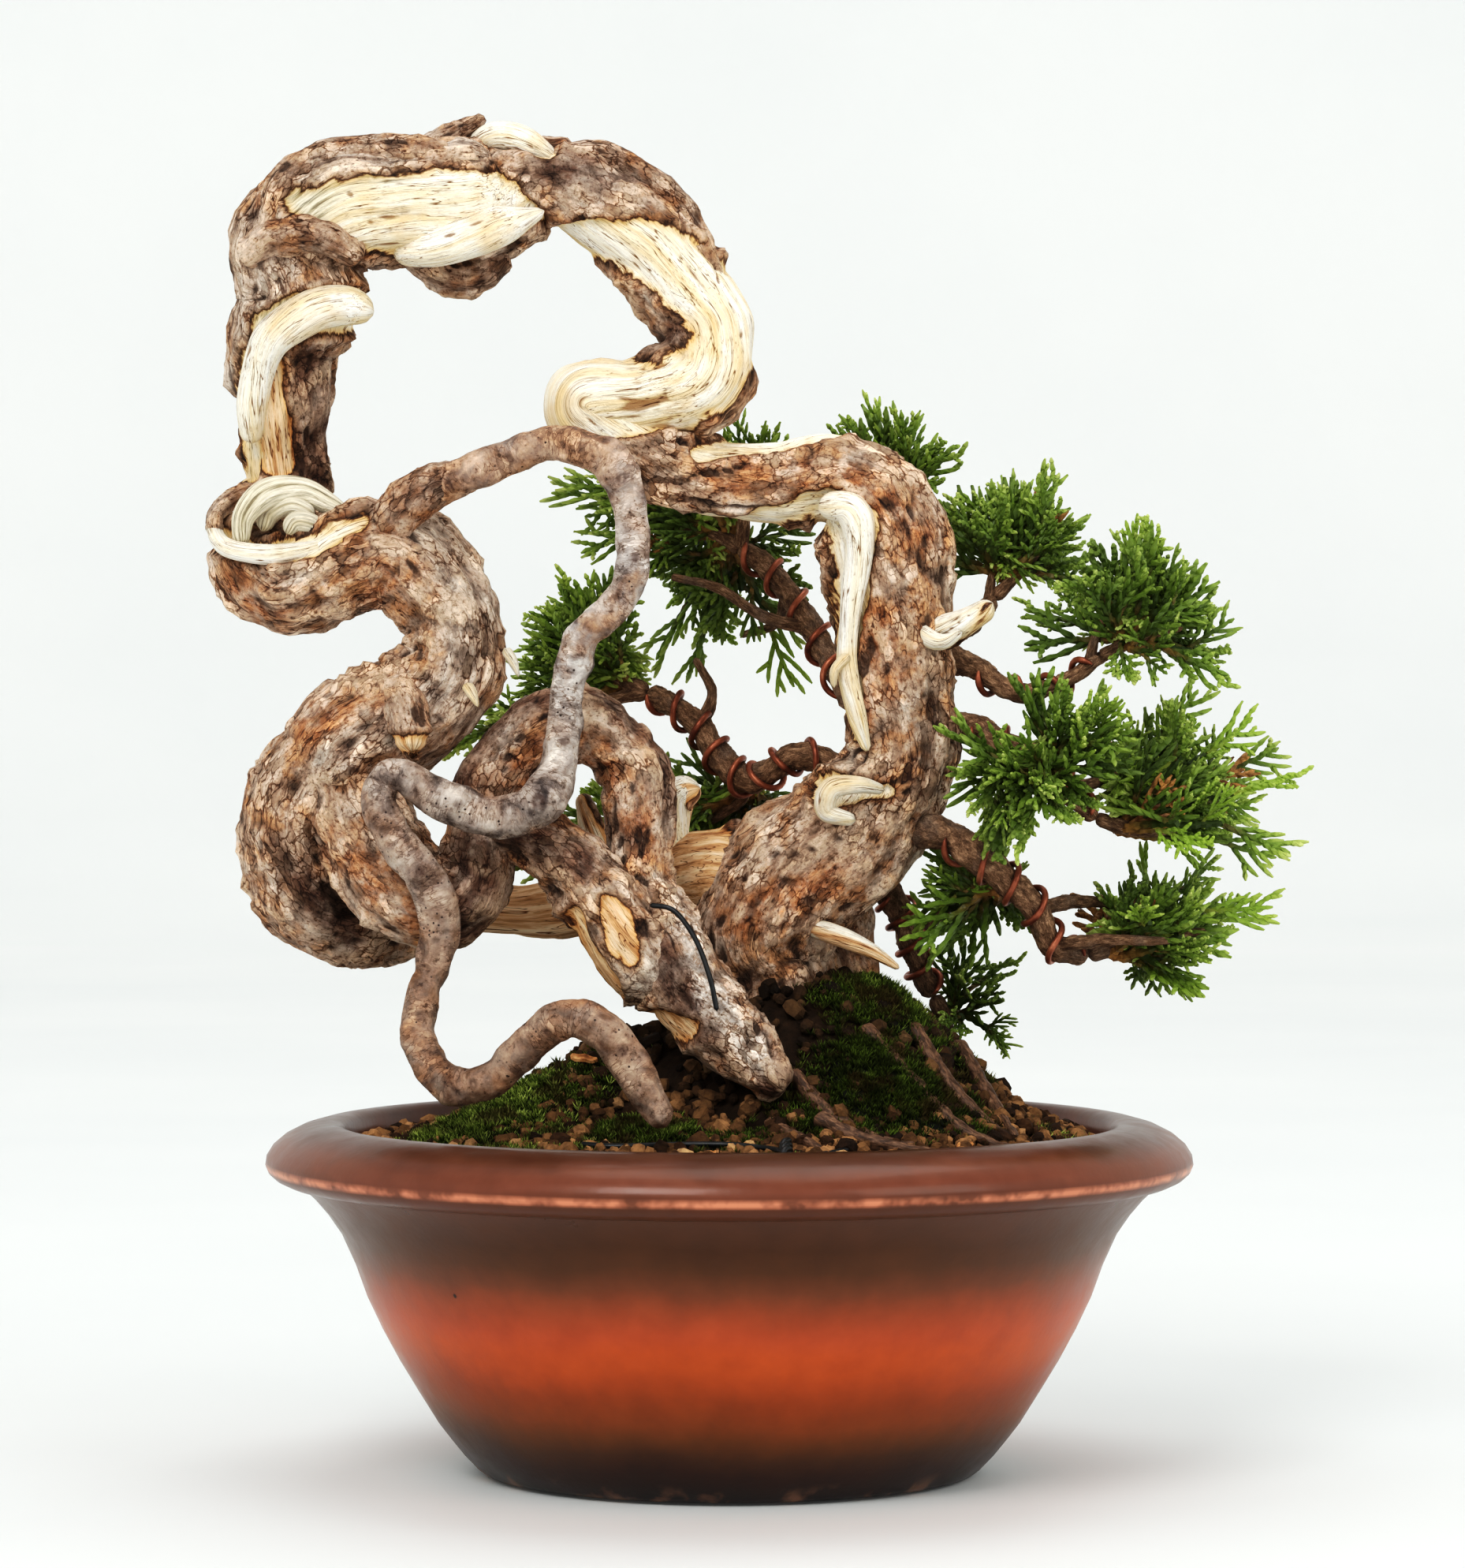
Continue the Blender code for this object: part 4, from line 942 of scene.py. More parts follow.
# little scars and buds on it: x, z and radius
ROOT_KNOBS = [
    (-17.5, 165, 1.1), (-15.5, 152, 0.7), (-25, 136, 0.6), (-27, 122, 0.7), (-31, 112.5, 1.2), (-44, 112, 0.7),
    (-50, 101, 0.7), (-47.5, 90, 0.6), (-50, 78, 0.7), (-41, 67.5, 0.8), (-29, 76, 0.7), (-17, 73, 0.8),
    (-36, 168.5, 0.7), (-46, 164, 0.8),
]
ROOT_START = [(-57, -1, 150, 2.4), (-55.5, -8.5, 156.5, 3.3)]  # inside the trunk
line, run = strand_line(ROOT_START + AERIAL_ROOT, 0.5)
line[:, 3] *= 1.0 + 0.10 * lumps(np.stack([run, run * 0, run * 0], -1), 6.0, 41)
along, turn, outward, base = tube(line, 36)
grain = grain_round(turn, run, 3.0)
relief = lumps(base, 4.2, 42) * 0.50 + lumps(grain * (1, 1, 0.5), 1.8, 43) * 0.30 + lumps(base, 1.1, 44) * 0.12
ring_mark = np.zeros(relief.shape)
for kx, kz, kr in ROOT_KNOBS:
    away = np.hypot(base[..., 0] - kx, base[..., 2] - kz)
    seen = np.clip(np.cos(turn)[None, :] * 2, 0, 1)
    relief += (np.exp(-(((away - kr) / 0.5) ** 2)) * 0.45 - tidy_step(kr - away, -0.3, 0.5) * 0.15) * seen
    ring_mark = np.maximum(ring_mark, np.exp(-(((away - kr * 0.6) / 0.35) ** 2)) * seen)
# warm brown near the trunk and low down; painted shade darkens its middle stretch, and it is darker again towards the
# damp soil
warm = (tidy_step(62 - run, -14, 14) * 0.8 + tidy_step(run, 125, 190) * 0.45)[:, None]
warm = warm + tidy_step(lumps(base, 7.0, 47), 0.0, 0.5) * 0.3
painted_shade_and_damp = tidy_step(run, 84, 118) * 0.55 + tidy_step(run, 150, 190) * 0.35
painted_shade_and_damp = np.broadcast_to(painted_shade_and_damp[:, None], relief.shape)
points, faces = sheathe(base + outward * relief[..., None], along, line[:, 3])
root = grown("aerial_root_bark", points, faces,
             {"warm": with_ends(np.clip(warm, 0, 1)), "knob": with_ends(ring_mark), "painted_shade_and_damp": with_ends(painted_shade_and_damp)},
             grain_with_ends(grain))

skin = Finish("aerial_root_thin_bark")
grain = skin.own("grain", "Vector")
spot = skin.place()
blotch = skin.grit(spot, 210.0, 5.0, 0.62, 0.4)
look = skin.ramp(blotch, [
    (0.30, paint(72, 64, 64)), (0.39, paint(122, 113, 110)), (0.46, paint(164, 156, 152)),
    (0.56, paint(196, 189, 184)), (0.70, paint(230, 226, 220)),
])
pink = skin.ramp(skin.grit(spot, 260.0, 5.0, 0.65, 0.5), [
    (0.30, paint(82, 54, 38)), (0.42, paint(140, 104, 76)), (0.55, paint(186, 146, 112)),
    (0.70, paint(224, 194, 164)),
])
pink_here = skin.level(skin.grit(spot, 90.0, 4.0, 0.6), 0.54, 0.66, 0.0, 0.6)
look = skin.blend(pink_here, look, pink)
look = skin.blend(skin.sum(skin.own("warm"), 0.85, "MULTIPLY"), look, pink)
rings = skin.ramp(skin.grit(skin.stretched(grain, (0.35, 0.35, 1.3)), 0.9, 4.0, 0.6, 0.3), [
    (0.45, PLAIN), (0.50, (0.42, 0.36, 0.34, 1)), (0.56, PLAIN),
])
look = skin.blend(skin.level(skin.grit(spot, 130.0, 3.0), 0.52, 0.62, 0.0, 0.75), look, rings, "MULTIPLY")
scuff = skin.ramp(skin.grit(spot, 620.0, 4.0, 0.7), [
    (0.32, (0.24, 0.17, 0.13, 1)), (0.41, (0.86, 0.80, 0.76, 1)), (0.50, PLAIN), (0.60, PLAIN),
    (0.70, (1.35, 1.32, 1.28, 1)),
])
look = skin.blend(0.9, look, scuff, "MULTIPLY")
scale_place = shaken(skin, skin.stretched(grain, (0.55, 0.55, 1.5)), 0.7, 1.6)
scales = skin.ramp(skin.cells(scale_place, 0.9, output="Color"), [
    (0.25, (0.66, 0.62, 0.60, 1)), (0.45, (0.96, 0.95, 0.94, 1)), (0.70, (1.24, 1.24, 1.24, 1)),
])
scale_edge = skin.ramp(skin.cells(scale_place, 0.9, feature="DISTANCE_TO_EDGE"), [
    (0.0, (0.28, 0.20, 0.16, 1)), (0.03, (0.66, 0.58, 0.52, 1)), (0.06, PLAIN),
])
scales = skin.blend(1.0, scales, scale_edge, "MULTIPLY")
look = skin.blend(skin.level(skin.grit(spot, 160.0, 3.0, 0.6), 0.42, 0.58, 0.1, 0.9), look, scales, "MULTIPLY")
# painted shade along the root's middle stretch, and darker near the damp soil
look = skin.blend(skin.sum(skin.own("painted_shade_and_damp"), 0.9, "MULTIPLY"), look, (0.66, 0.55, 0.45, 1.0), "MULTIPLY")
dots = skin.level(skin.cells(spot, 900.0), 0.12, 0.22, 1.0, 0.0)
dots = skin.sum(dots, skin.level(skin.grit(spot, 300.0, 2.0), 0.50, 0.58), "MULTIPLY")
look = skin.blend(dots, look, paint(52, 36, 32))
look = skin.blend(skin.sum(skin.own("knob"), 0.7, "MULTIPLY"), look, paint(72, 46, 36))
relief = skin.bump(skin.grit(spot, 620.0, 4.0, 0.7), 0.0004, 0.6)
relief = skin.bump(skin.grit(spot, 900.0, 4.0, 0.6), 0.0002, 0.6, relief)
skin.done(look, skin.level(skin.grit(spot, 400.0), 0.3, 0.7, 0.48, 0.70), relief, IOR=1.45, Specular_IOR_Level=0.4)
root.data.materials.append(skin.material)
settle(root, "aerial_root_bark")
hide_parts("aerial_root")
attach(root, "root")

# ---------------------------------------------------------------- Branches
# Eight thin branches that still carry leaves, springing from the back and the
# right of the trunk. Their bark is young, red-brown, rough and flaking.
BRANCHES = {
    "branch_back_upper": [
        (21, 12, 129, 2.1), (18, 20, 134, 2.2), (13, 26, 143, 2.0), (7, 31, 151, 1.8),
        (2, 35, 155, 1.6),
    ],
    "branch_back_middle": [
        (20, 16, 114, 2.3), (17, 17, 118, 2.3), (11, 18, 119, 2.2), (4, 22, 115, 2.2),
        (-1, 25, 118, 2.2), (-5, 28, 124, 2.0), (-10, 31, 128, 1.9), (-14, 34, 130, 1.8),
    ],
    "branch_right_upper": [
        (41.5, 0, 134, 1.8), (44, -2, 132, 1.7), (49, -2, 130, 1.6), (56, -1, 132, 1.3),
        (62, 0, 136, 1.2),
    ],
    "branch_right_top": [(40, 8, 141, 1.6), (42, 13, 143, 1.5), (45, 17, 146, 1.3)],
    "branch_right_middle": [
        (41.5, 0, 124, 2.0), (45, -4, 122, 1.8), (52, -6, 119, 1.7), (57, -6, 113, 1.6),
        (61, -5, 109, 1.3),
    ],
    "branch_right_lower": [
        (36.5, -3, 106, 2.6), (41, -6, 103, 2.6), (46, -6, 99, 2.4), (51, -5, 94, 2.2),
        (54, -3, 88, 2.0), (60, -1, 86, 1.7),
    ],
    "branch_low_back": [
        (26, 18, 97, 2.4), (29, 19, 93, 2.3), (31, 20, 87, 2.0), (33, 22, 82, 1.9),
        (35, 24, 78, 1.8),
    ],
    "branch_back_top": [(24, 11.5, 166, 1.5), (25, 16, 164, 1.4), (26, 21, 163, 1.2)],
}
# Where each branch joins the trunk, and the twigs it carries on into its leaves
JOINS = {
    "branch_back_upper": [(24, 5, 126, 3.0)], "branch_back_middle": [(24, 8, 112, 3.0)],
    "branch_right_upper": [(36, 1, 136, 2.6)], "branch_right_top": [(34, 2, 139, 2.2)],
    "branch_right_middle": [(36, 2, 124, 2.8)], "branch_right_lower": [(30, 0, 108, 3.4)],
    "branch_low_back": [(22, 12, 100, 3.2)], "branch_back_top": [(23, 6, 165, 2.0)],
}
TWIGS = {
    "branch_back_upper": [
        [(2, 35, 155, 1.5), (-3, 38, 158, 1.2), (-12, 42, 160, 0.8), (-20, 42, 161, 0.6)],
        [(2, 35, 155, 1.4), (3, 32, 162, 1.0), (6, 29, 170, 0.6)],
        [(10, 29, 147, 1.2), (8, 36, 142, 0.9), (2, 44, 140, 0.6)],
        [(14, 25, 141, 1.2), (6, 24, 143, 1.0), (-2, 26, 148, 0.8), (-10, 30, 150, 0.6)],
    ],
    "branch_back_middle": [
        [(-14, 34, 130, 1.7), (-20, 36, 133, 1.3), (-28, 37, 141, 0.8)],
        [(-14, 34, 130, 1.5), (-24, 35, 128, 1.1), (-36, 33, 123, 0.7)],
        [(-1, 25, 118, 1.4), (2, 28, 112, 1.2), (-8, 34, 106, 0.9), (-22, 35, 102, 0.7)],
        [(-5, 28, 124, 1.2), (-3, 29, 130, 0.9), (-6, 30, 136, 0.6)],
    ],
    "branch_right_upper": [
        [(62, 0, 136, 1.2), (68, 0, 139, 1.0), (76, 2, 141, 0.6)],
        [(58, 0, 133, 1.1), (66, 6, 138, 0.9), (74, 12, 140, 0.6)],
        [(60, 0, 134, 1.0), (62, 0, 141, 0.7), (68, 2, 148, 0.5)],
    ],
    "branch_right_top": [
        [(45, 17, 146, 1.2), (50, 20, 151, 0.9), (55, 22, 157, 0.6)], [(44, 16, 145, 1.0), (45, 20, 152, 0.6)],
    ],
    "branch_right_middle": [
        [(61, -5, 109, 1.3), (70, -2, 107, 1.1), (82, 2, 109, 0.7)],
        [(56, -6, 114, 1.1), (66, 4, 116, 0.9), (78, 10, 119, 0.6)],
        [(52, -6, 119, 1.1), (50, -12, 117, 0.8), (46, -20, 112, 0.6)],
    ],
    "branch_right_lower": [
        [(60, -1, 86, 1.6), (67, 0, 88, 1.2), (80, 1, 90, 0.7)],
        [(54, -3, 88, 1.3), (64, -8, 89, 1.0), (73, -12, 89, 0.7)],
        [(51, -5, 94, 1.4), (60, 4, 95, 1.1), (72, 14, 93, 0.8)],
        [(46, -6, 99, 1.3), (45, 2, 98, 1.0), (42, 12, 96, 0.7)],
    ],
    "branch_low_back": [
        [(35, 24, 78, 1.6), (37, 25, 74, 1.4), (38, 26, 70, 1.2)],
        [(31, 20, 87, 1.4), (36, 22, 92, 1.0), (44, 24, 94, 0.7)],
    ],
    "branch_back_top": [[(26, 21, 163, 1.1), (27, 24, 167, 0.8), (28, 26, 173, 0.5)]],
}
young_bark = Finish("young_branch_bark")
grain = young_bark.own("grain", "Vector")
spot = young_bark.place()
short_grain = young_bark.stretched(grain, (1, 1, 0.4))
look = young_bark.ramp(young_bark.grit(short_grain, 1.3, 5.0, 0.68, 0.3), [
    (0.28, paint(58, 42, 32)), (0.40, paint(108, 82, 62)), (0.52, paint(148, 118, 92)), (0.66, paint(184, 152, 124)),
    (0.80, paint(214, 188, 160)),
])
grey_here = young_bark.level(young_bark.grit(spot, 160.0, 3.0), 0.52, 0.66, 0.0, 0.6)
look = young_bark.blend(
    grey_here, look,
    young_bark.ramp(young_bark.grit(spot, 500.0, 4.0), [(0.35, paint(92, 76, 66)), (0.62, paint(160, 142, 126))]),
)
flaw = young_bark.ramp(young_bark.grit(short_grain, 2.6, 4.0, 0.65, 0.4), [
    (0.43, PLAIN), (0.50, (0.30, 0.22, 0.20, 1)), (0.57, PLAIN),
])
look = young_bark.blend(0.75, look, flaw, "MULTIPLY")
relief = young_bark.bump(young_bark.grit(short_grain, 2.6, 4.0, 0.65, 0.4), 0.0004, 0.7)
young_bark.done(
    look, young_bark.level(young_bark.grit(spot, 400.0), 0.3, 0.7, 0.65, 0.88), relief, IOR=1.45,
    Specular_IOR_Level=0.35,
)
for number, (name, points) in enumerate(BRANCHES.items()):
    branch_skins, branch_grain = [], []
    for order, way in enumerate([JOINS[name] + points] + TWIGS[name]):
        line, run = strand_line(way, 0.45)
        along, turn, outward, base = tube(line, 20 if order == 0 else 10)
        grain = grain_round(turn, run, 2.0)
        scale = np.minimum(line[:, 3] / 2.0, 1.0)[:, None]
        relief = lumps(base, 3.4, 51 + number) * 0.45 + lumps(grain * (1, 1, 0.5), 1.3, 52) * 0.34
        relief = (relief + np.abs(lumps(grain, 0.8, 53)) * 0.30) * scale
        branch_skins.append(sheathe(base + outward * relief[..., None], along, line[:, 3]))
        branch_grain.append(grain_with_ends(grain))
    branch = grown(name + "_bark", *gathered(branch_skins), {}, np.concatenate(branch_grain))
    branch.data.materials.append(young_bark.material)
    settle(branch, name + "_bark")
    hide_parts(name)
    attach(branch, "root")

# ---------------------------------------------------------------- Training wire
# Anodised copper-coloured wire, about 1.1 mm thick, wound round six of the
# branches in an open spiral to hold the bends they were given.
WIRE_RADIUS = 0.55
# how far the coil starts and stops short of the branch's ends in mm, and its turns
WIRED = {
    "branch_back_upper": (1.5, 5.0),
    "branch_back_middle": (1.5, 8.0),
    "branch_right_upper": (2.0, 3.0),
    "branch_right_middle": (1.5, 4.0),
    "branch_right_lower": (1.5, 5.0),
    "branch_low_back": (1.5, 4.0),
}
copper = Finish("copper_training_wire")
spot = copper.place()
look = copper.ramp(copper.grit(spot, 260.0, 4.0, 0.6), [
    (0.30, paint(92, 54, 42)), (0.45, paint(142, 84, 62)), (0.60, paint(172, 108, 82)), (0.75, paint(200, 140, 112)),
])
copper.done(look, copper.level(copper.grit(spot, 700.0, 3.0), 0.3, 0.7, 0.30, 0.50),
            copper.bump(copper.grit(spot, 1500.0, 3.0), 0.00005, 0.5), Metallic=0.55, IOR=1.5)
for name, (inset, turns) in WIRED.items():
    line, run = strand_line(BRANCHES[name], 0.25)
    along, across, front = strand_axes(line)
    keep = (run >= inset) & (run <= run[-1] - inset)
    line, run, along, across, front = line[keep], run[keep], along[keep], across[keep], front[keep]
    wobble = lumps(np.stack([run, run * 0, run * 0], -1), 5.0, 61)
    wind = math.tau * turns * (run - run[0]) / (run[-1] - run[0]) + wobble * 0.8
    out = across * np.sin(wind)[:, None] + front * np.cos(wind)[:, None]
    middle = line[:, :3] + out * (line[:, 3] + 0.75 + 0.15 * wobble)[:, None]
    lie = np.gradient(middle, axis=0)
    lie /= np.linalg.norm(lie, axis=1)[:, None]
    rise = out - lie * (out * lie).sum(-1)[:, None]
    rise /= np.linalg.norm(rise, axis=1)[:, None]
    side = np.cross(lie, rise)
    turn = np.linspace(0, math.tau, 10, endpoint=False)
    round_off = np.minimum(1, np.sqrt(np.minimum(np.arange(len(run)), np.arange(len(run))[::-1]) / 3 + 0.15))
    outward = side[:, None, :] * np.sin(turn)[None, :, None] + rise[:, None, :] * np.cos(turn)[None, :, None]
    rings = middle[:, None, :] + outward * (WIRE_RADIUS * round_off)[:, None, None]
    points, faces = sheathe(rings, lie, np.full(len(run), WIRE_RADIUS))
    coil = grown(name.replace("branch", "coil"), points, faces, {})
    coil.data.materials.append(copper.material)
    settle(coil, name.replace("branch", "coil"))
    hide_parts(name.replace("branch", "wire"))
    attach(coil, "root")

# ---------------------------------------------------------------- Foliage
# Living juniper sprays: green cord-like shoots a bit over a millimetre thick,
# covered in tiny overlapping scale leaves and forking again and again.
# where each spray leaves its twig, then the tips it reaches
FOLIAGE = {
    "foliage_back_upper": ((0, 38, 157), [
        (5, 26, 182), (11, 28, 175), (1, 22, 177), (-4, 20, 173), (-31, 44, 165),
        (-28, 38, 168), (-25, 38, 161), (-26, 48, 157), (-13, 50, 146), (-10, 54, 154),
        (-12, 52, 136), (-6, 50, 132), (-3, 55, 141), (11, 42, 131),
    ]),
    "foliage_back_top": ((27, 24, 162), [
        (28, 26, 178), (33, 24, 173), (22, 30, 175), (34, 22, 167),
    ]),
    "foliage_back_middle": ((-17, 36, 131), [
        (-37, 36, 148), (-31, 42, 151), (-25, 36, 150), (-41, 32, 141), (-39, 42, 133),
        (-50, 32, 120), (-43, 28, 126), (-46, 40, 122), (-33, 48, 126), (-22, 28, 138),
    ]),
    "foliage_back_lower": ((4, 28.5, 113), [
        (-4, 36, 105), (1, 42, 106), (5, 34, 105), (-9, 40, 109), (-39, 34, 100),
        (-31, 42, 103), (-32, 38, 95), (-37, 28, 98),
    ]),
    "foliage_right_top": ((47, 19, 149), [
        (60, 16, 160), (56, 28, 162), (51, 34, 161), (45, 22, 161), (41, 14, 158),
        (62, 34, 156), (60, 22, 150), (39, 28, 159),
    ]),
    "foliage_right_upper": ((66, 0, 138), [
        (80, -8, 148), (81, 12, 140), (86, 4, 134), (74, 6, 154), (71, 16, 156),
        (62, -10, 149), (83, 24, 145), (75, -14, 134), (52, 9, 143), (69, 30, 141),
    ]),
    "foliage_right_front": ((52, -11, 118), [
        (37, -24, 114), (41, -22, 106), (47, -28, 109), (54, -16, 128), (61, -20, 124),
        (68, -14, 122), (52, -30, 107), (38, -15, 109),
    ]),
    "foliage_right_middle": ((64, -3, 107), [
        (96, 6, 114), (94, -6, 106), (90, 14, 124), (84, 0, 126), (80, 24, 130),
        (74, 10, 127), (94, 24, 119), (92, 12, 102), (90, 34, 112), (82, -18, 107),
        (79, 40, 119),
    ]),
    "foliage_right_lower": ((63.5, 0, 86), [
        (91, 2, 96), (84, -12, 90), (86, 8, 85), (78, -4, 82), (73, 14, 82),
        (91, 22, 91), (84, 28, 99), (74, -22, 94), (70, 30, 89),
    ]),
    "foliage_right_inner": ((45, 0, 97), [
        (33, 4, 94), (36, 12, 96), (44, 14, 91), (43, 24, 94), (40, 20, 101),
    ]),
    "foliage_sprig": ((38, 27, 75), [
        (39, 20, 85), (43, 26, 81), (43, 15, 79), (41, 17, 73), (49, 20, 69),
    ]),
}
dice = np.random.default_rng(11)


def unit(v):
    return v / np.linalg.norm(v)


def scaly_shoot(start, ahead, bend, length, radius, rings):
    """Points and faces of one shoot: a four-sided cord whose rings swell and turn like overlapping scales."""
    side = unit(np.cross(ahead, (0.31, 0.17, 0.93)))
    up = np.cross(ahead, side)
    points = []
    for k in range(rings):
        t = k / (rings - 1)
        r = radius * (1.0 - 0.16 * t) * (1.12 if k % 2 else 0.90) * (0.45 if k == rings - 1 else 1.0)
        spot = start + ahead * length * t + bend * length * t * t
        for q in range(4):
            a = math.tau * (q + 0.5 * (k % 2)) / 4
            points.append(spot + (side * math.cos(a) + up * math.sin(a)) * r)
    faces = [[3, 2, 1, 0], [4 * rings - 4 + q for q in range(4)]]
    for k in range(rings - 1):
        for q in range(4):
            n = (q + 1) % 4
            faces.append([4 * k + q, 4 * k + n, 4 * k + 4 + n, 4 * k + 4 + q])
    return np.array(points), faces


# Six fronds, each 10 mm long along +Y with its side shoots across X, used all through the tree
fronds = []
for pattern in range(6):
    points, faces, young = [], [], []

    def add_shoot(start, ahead, bend, length, radius, rings, age, gain):
        made, sides = scaly_shoot(start, ahead, bend, length, radius, rings)
        offset = sum(len(p) for p in points)
        points.append(made)
        faces.extend([[offset + k for k in face] for face in sides])
        young.append(age + gain * np.repeat(np.arange(rings) / (rings - 1), 4))
        return lambda t: start + ahead * length * t + bend * length * t * t

    tufty = pattern >= 4
    sway = np.array([dice.uniform(-0.10, 0.10), 0, dice.uniform(0.0, 0.12)])
    stem = add_shoot(np.zeros(3), np.array([0, 1.0, 0]), sway, 10.0, 0.44, 13, 0.1, 0.7)
    hand = dice.choice([-1, 1])
    for k in range(6 if tufty else 5):
        t = 0.12 + (0.13 if tufty else 0.155) * k + dice.uniform(-0.02, 0.02)
        hand = -hand
        angle = math.radians(dice.uniform(26, 40))
        ahead = unit(np.array([hand * math.sin(angle), math.cos(angle), dice.uniform(-0.30, 0.36)]))
        reach_out = ((5.2 if tufty else 7.2) * (1 - 0.48 * t)) * dice.uniform(0.75, 1.2)
        arm = add_shoot(stem(t), ahead, np.array([-hand * 0.12, 0.08, 0.04]), reach_out, 0.42, 8, 0.25 + 0.4 * t, 0.6)
        inner_hand = dice.choice([-1, 1])
        for s in ((0.35, 0.58, 0.80) if tufty else (0.50,)):
            if dice.random() < 0.25:
                continue
            inner_hand = -inner_hand
            bend_by = math.radians(dice.uniform(32, 48)) * inner_hand
            turned = np.array([
                ahead[0] * math.cos(bend_by) + ahead[1] * math.sin(bend_by),
                -ahead[0] * math.sin(bend_by) + ahead[1] * math.cos(bend_by),
                ahead[2] + dice.uniform(-0.2, 0.3),
            ])
            tip_length = dice.uniform(1.2, 2.4) if tufty else dice.uniform(1.6, 3.2)
            add_shoot(arm(s), unit(turned), np.zeros(3), tip_length, 0.40, 5, 0.55 + 0.3 * t, 0.5)
    fronds.append((np.concatenate(points), faces, np.concatenate(young)))

leaves = Finish("scale_leaves")
spot = leaves.place()
young = leaves.own("young")
tone = leaves.own("tone")
mottle = leaves.sum(leaves.grit(spot, 900.0, 2.0), 0.25, "MULTIPLY")
look = leaves.ramp(leaves.sum(leaves.sum(young, 0.75, "MULTIPLY"), mottle), [
    (0.05, paint(36, 44, 12)), (0.32, paint(72, 92, 28)), (0.55, paint(112, 136, 50)), (0.78, paint(156, 176, 84)),
    (1.0, paint(204, 214, 136)),
])
# painted shade: fronds with a low tone, deep in the spray, darkened
look = leaves.blend(
    leaves.level(tone, 0.0, 1.0, 0.55, 0.0), look,
    leaves.ramp(young, [(0.0, paint(20, 30, 10)), (1.0, paint(60, 80, 36))]),
)
# painted highlight: fronds with the highest tone, out towards the tips of the spray, turned bright yellow-green
look = leaves.blend(leaves.level(tone, 0.86, 0.95, 0.0, 0.7), look, paint(146, 172, 66))
look = leaves.blend(
    leaves.own("dry"), look,
    leaves.ramp(leaves.grit(spot, 700.0, 3.0), [(0.35, paint(112, 74, 40)), (0.65, paint(194, 146, 88))]),
)
leaves.done(look, leaves.level(leaves.grit(spot, 600.0), 0.3, 0.7, 0.42, 0.62),
            leaves.bump(leaves.grit(spot, 1600.0, 2.0), 0.00008, 0.6), IOR=1.45)

for name, (base, tips) in FOLIAGE.items():
    spray_skins, marks = [], {"young": [], "tone": [], "dry": []}
    small = name == "foliage_sprig"

    def plant(made, sides, young, tone, dry):
        spray_skins.append((made, sides))
        marks["young"].append(young)
        marks["tone"].append(np.full(len(made), tone))
        marks["dry"].append(np.full(len(made), dry) if np.isscalar(dry) else dry)

    start = np.array(base, float)
    more = [] if small else [
        tuple(start + (np.array(tips[k]) * m + np.array(tips[(k + 1) % len(tips)]) * (1 - m) - start) * 0.86)
        for k in range(len(tips)) for m in (dice.uniform(0.35, 0.65),)
    ]
    for tip in tips + more:
        end = np.array(tip, float)
        span = np.linalg.norm(end - start)
        middle = start + (end - start) * 0.55 + np.array([0, 0, 0.06 * span])
        tail = 6.5 if small else min(12.0, span * 0.5)
        last = end - unit(end - middle) * tail
        half_way = start * 0.5 + middle * 0.5 + dice.uniform(-1, 1, 3)
        line, run = strand_line([(*start, 0.75), (*half_way, 0.68), (*middle, 0.6), (*last, 0.5)], 0.9)
        line[:, 3] *= 1 + 0.16 * np.where(np.arange(len(run)) % 2, 1, -1)
        along, across, front = strand_axes(line)
        made, sides = sheathe(tube(line, 5)[3], along, line[:, 3])
        woody = np.clip(1.15 - 1.9 * run / run[-1], 0, 1) * (0.4 if small else 1)
        plant(made, sides, np.full(len(made), 0.15), 0.5, with_ends(np.repeat(woody[:, None], 5, axis=1)))
        count = max(3, int(run[-1] / 5.4))
        for k in range(count + 1):
            t = 1.0 if k == count else 0.22 + 0.74 * (k + dice.uniform(-0.3, 0.3)) / count
            i = min(len(run) - 1, max(0, int(round(t * (len(run) - 1)))))
            hand = 1 if k % 2 else -1
            spin = dice.uniform(-1.0, 1.0)
            out = across[i] * math.cos(spin) * hand + front[i] * math.sin(spin)
            angle = 0.10 if k == count else math.radians(dice.uniform(20, 48))
            ahead = unit(along[i] * math.cos(angle) + out * math.sin(angle) + np.array([0, 0, 0.16]))
            normal = np.array([0, -1.0, 0.25]) + dice.normal(0, 0.55, 3)
            normal = unit(normal - ahead * (normal @ ahead))
            side = np.cross(ahead, normal)
            size = tail if k == count else dice.uniform(10.5, 17.0) * (1.0 - 0.45 * t)
            size = size / 10.0 * (0.75 if small and k < count else 1)
            shape, sides, young = fronds[dice.integers(6)]
            axes = np.array([side, ahead, normal])
            made = line[i, :3] + (shape * size) @ axes
            # tone: low for fronds deep in the spray, which get painted shade, and high near its tip, which get a
            # painted highlight
            tone = float(np.clip(0.55 + 0.5 * (t - 0.5) + dice.normal(0, 0.18), 0, 1))
            # a few fronds are dry all over; the rest have brown stems, most of all low on the shoot
            dry = 1.0 if dice.random() < (
                0.05 if t < 0.4 else 0.004
            ) else np.clip(1.0 - 2.2 * young, 0, 1) * (0.8 if t < 0.6 else 0.3)
            plant(made, sides, young * (0.6 + 0.4 * t), tone, dry)
    spray = grown(
        name.replace("foliage", "leaf_spray"), *gathered(spray_skins),
        {key: np.concatenate(value) for key, value in marks.items()}, smooth=False,
    )
    spray.data.materials.append(leaves.material)
    settle(spray, name.replace("foliage", "leaf_spray"))
    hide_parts(name)
    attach(spray, "root")

# ---------------------------------------------------------------- Soil
# Fired clay granules, brown and damp, level below the rim and heaped up under
# the trunk where old root-bound earth was left.
MOUND_X, MOUND_Y, MOUND_RISE = 16.0, 6.0, 25.5


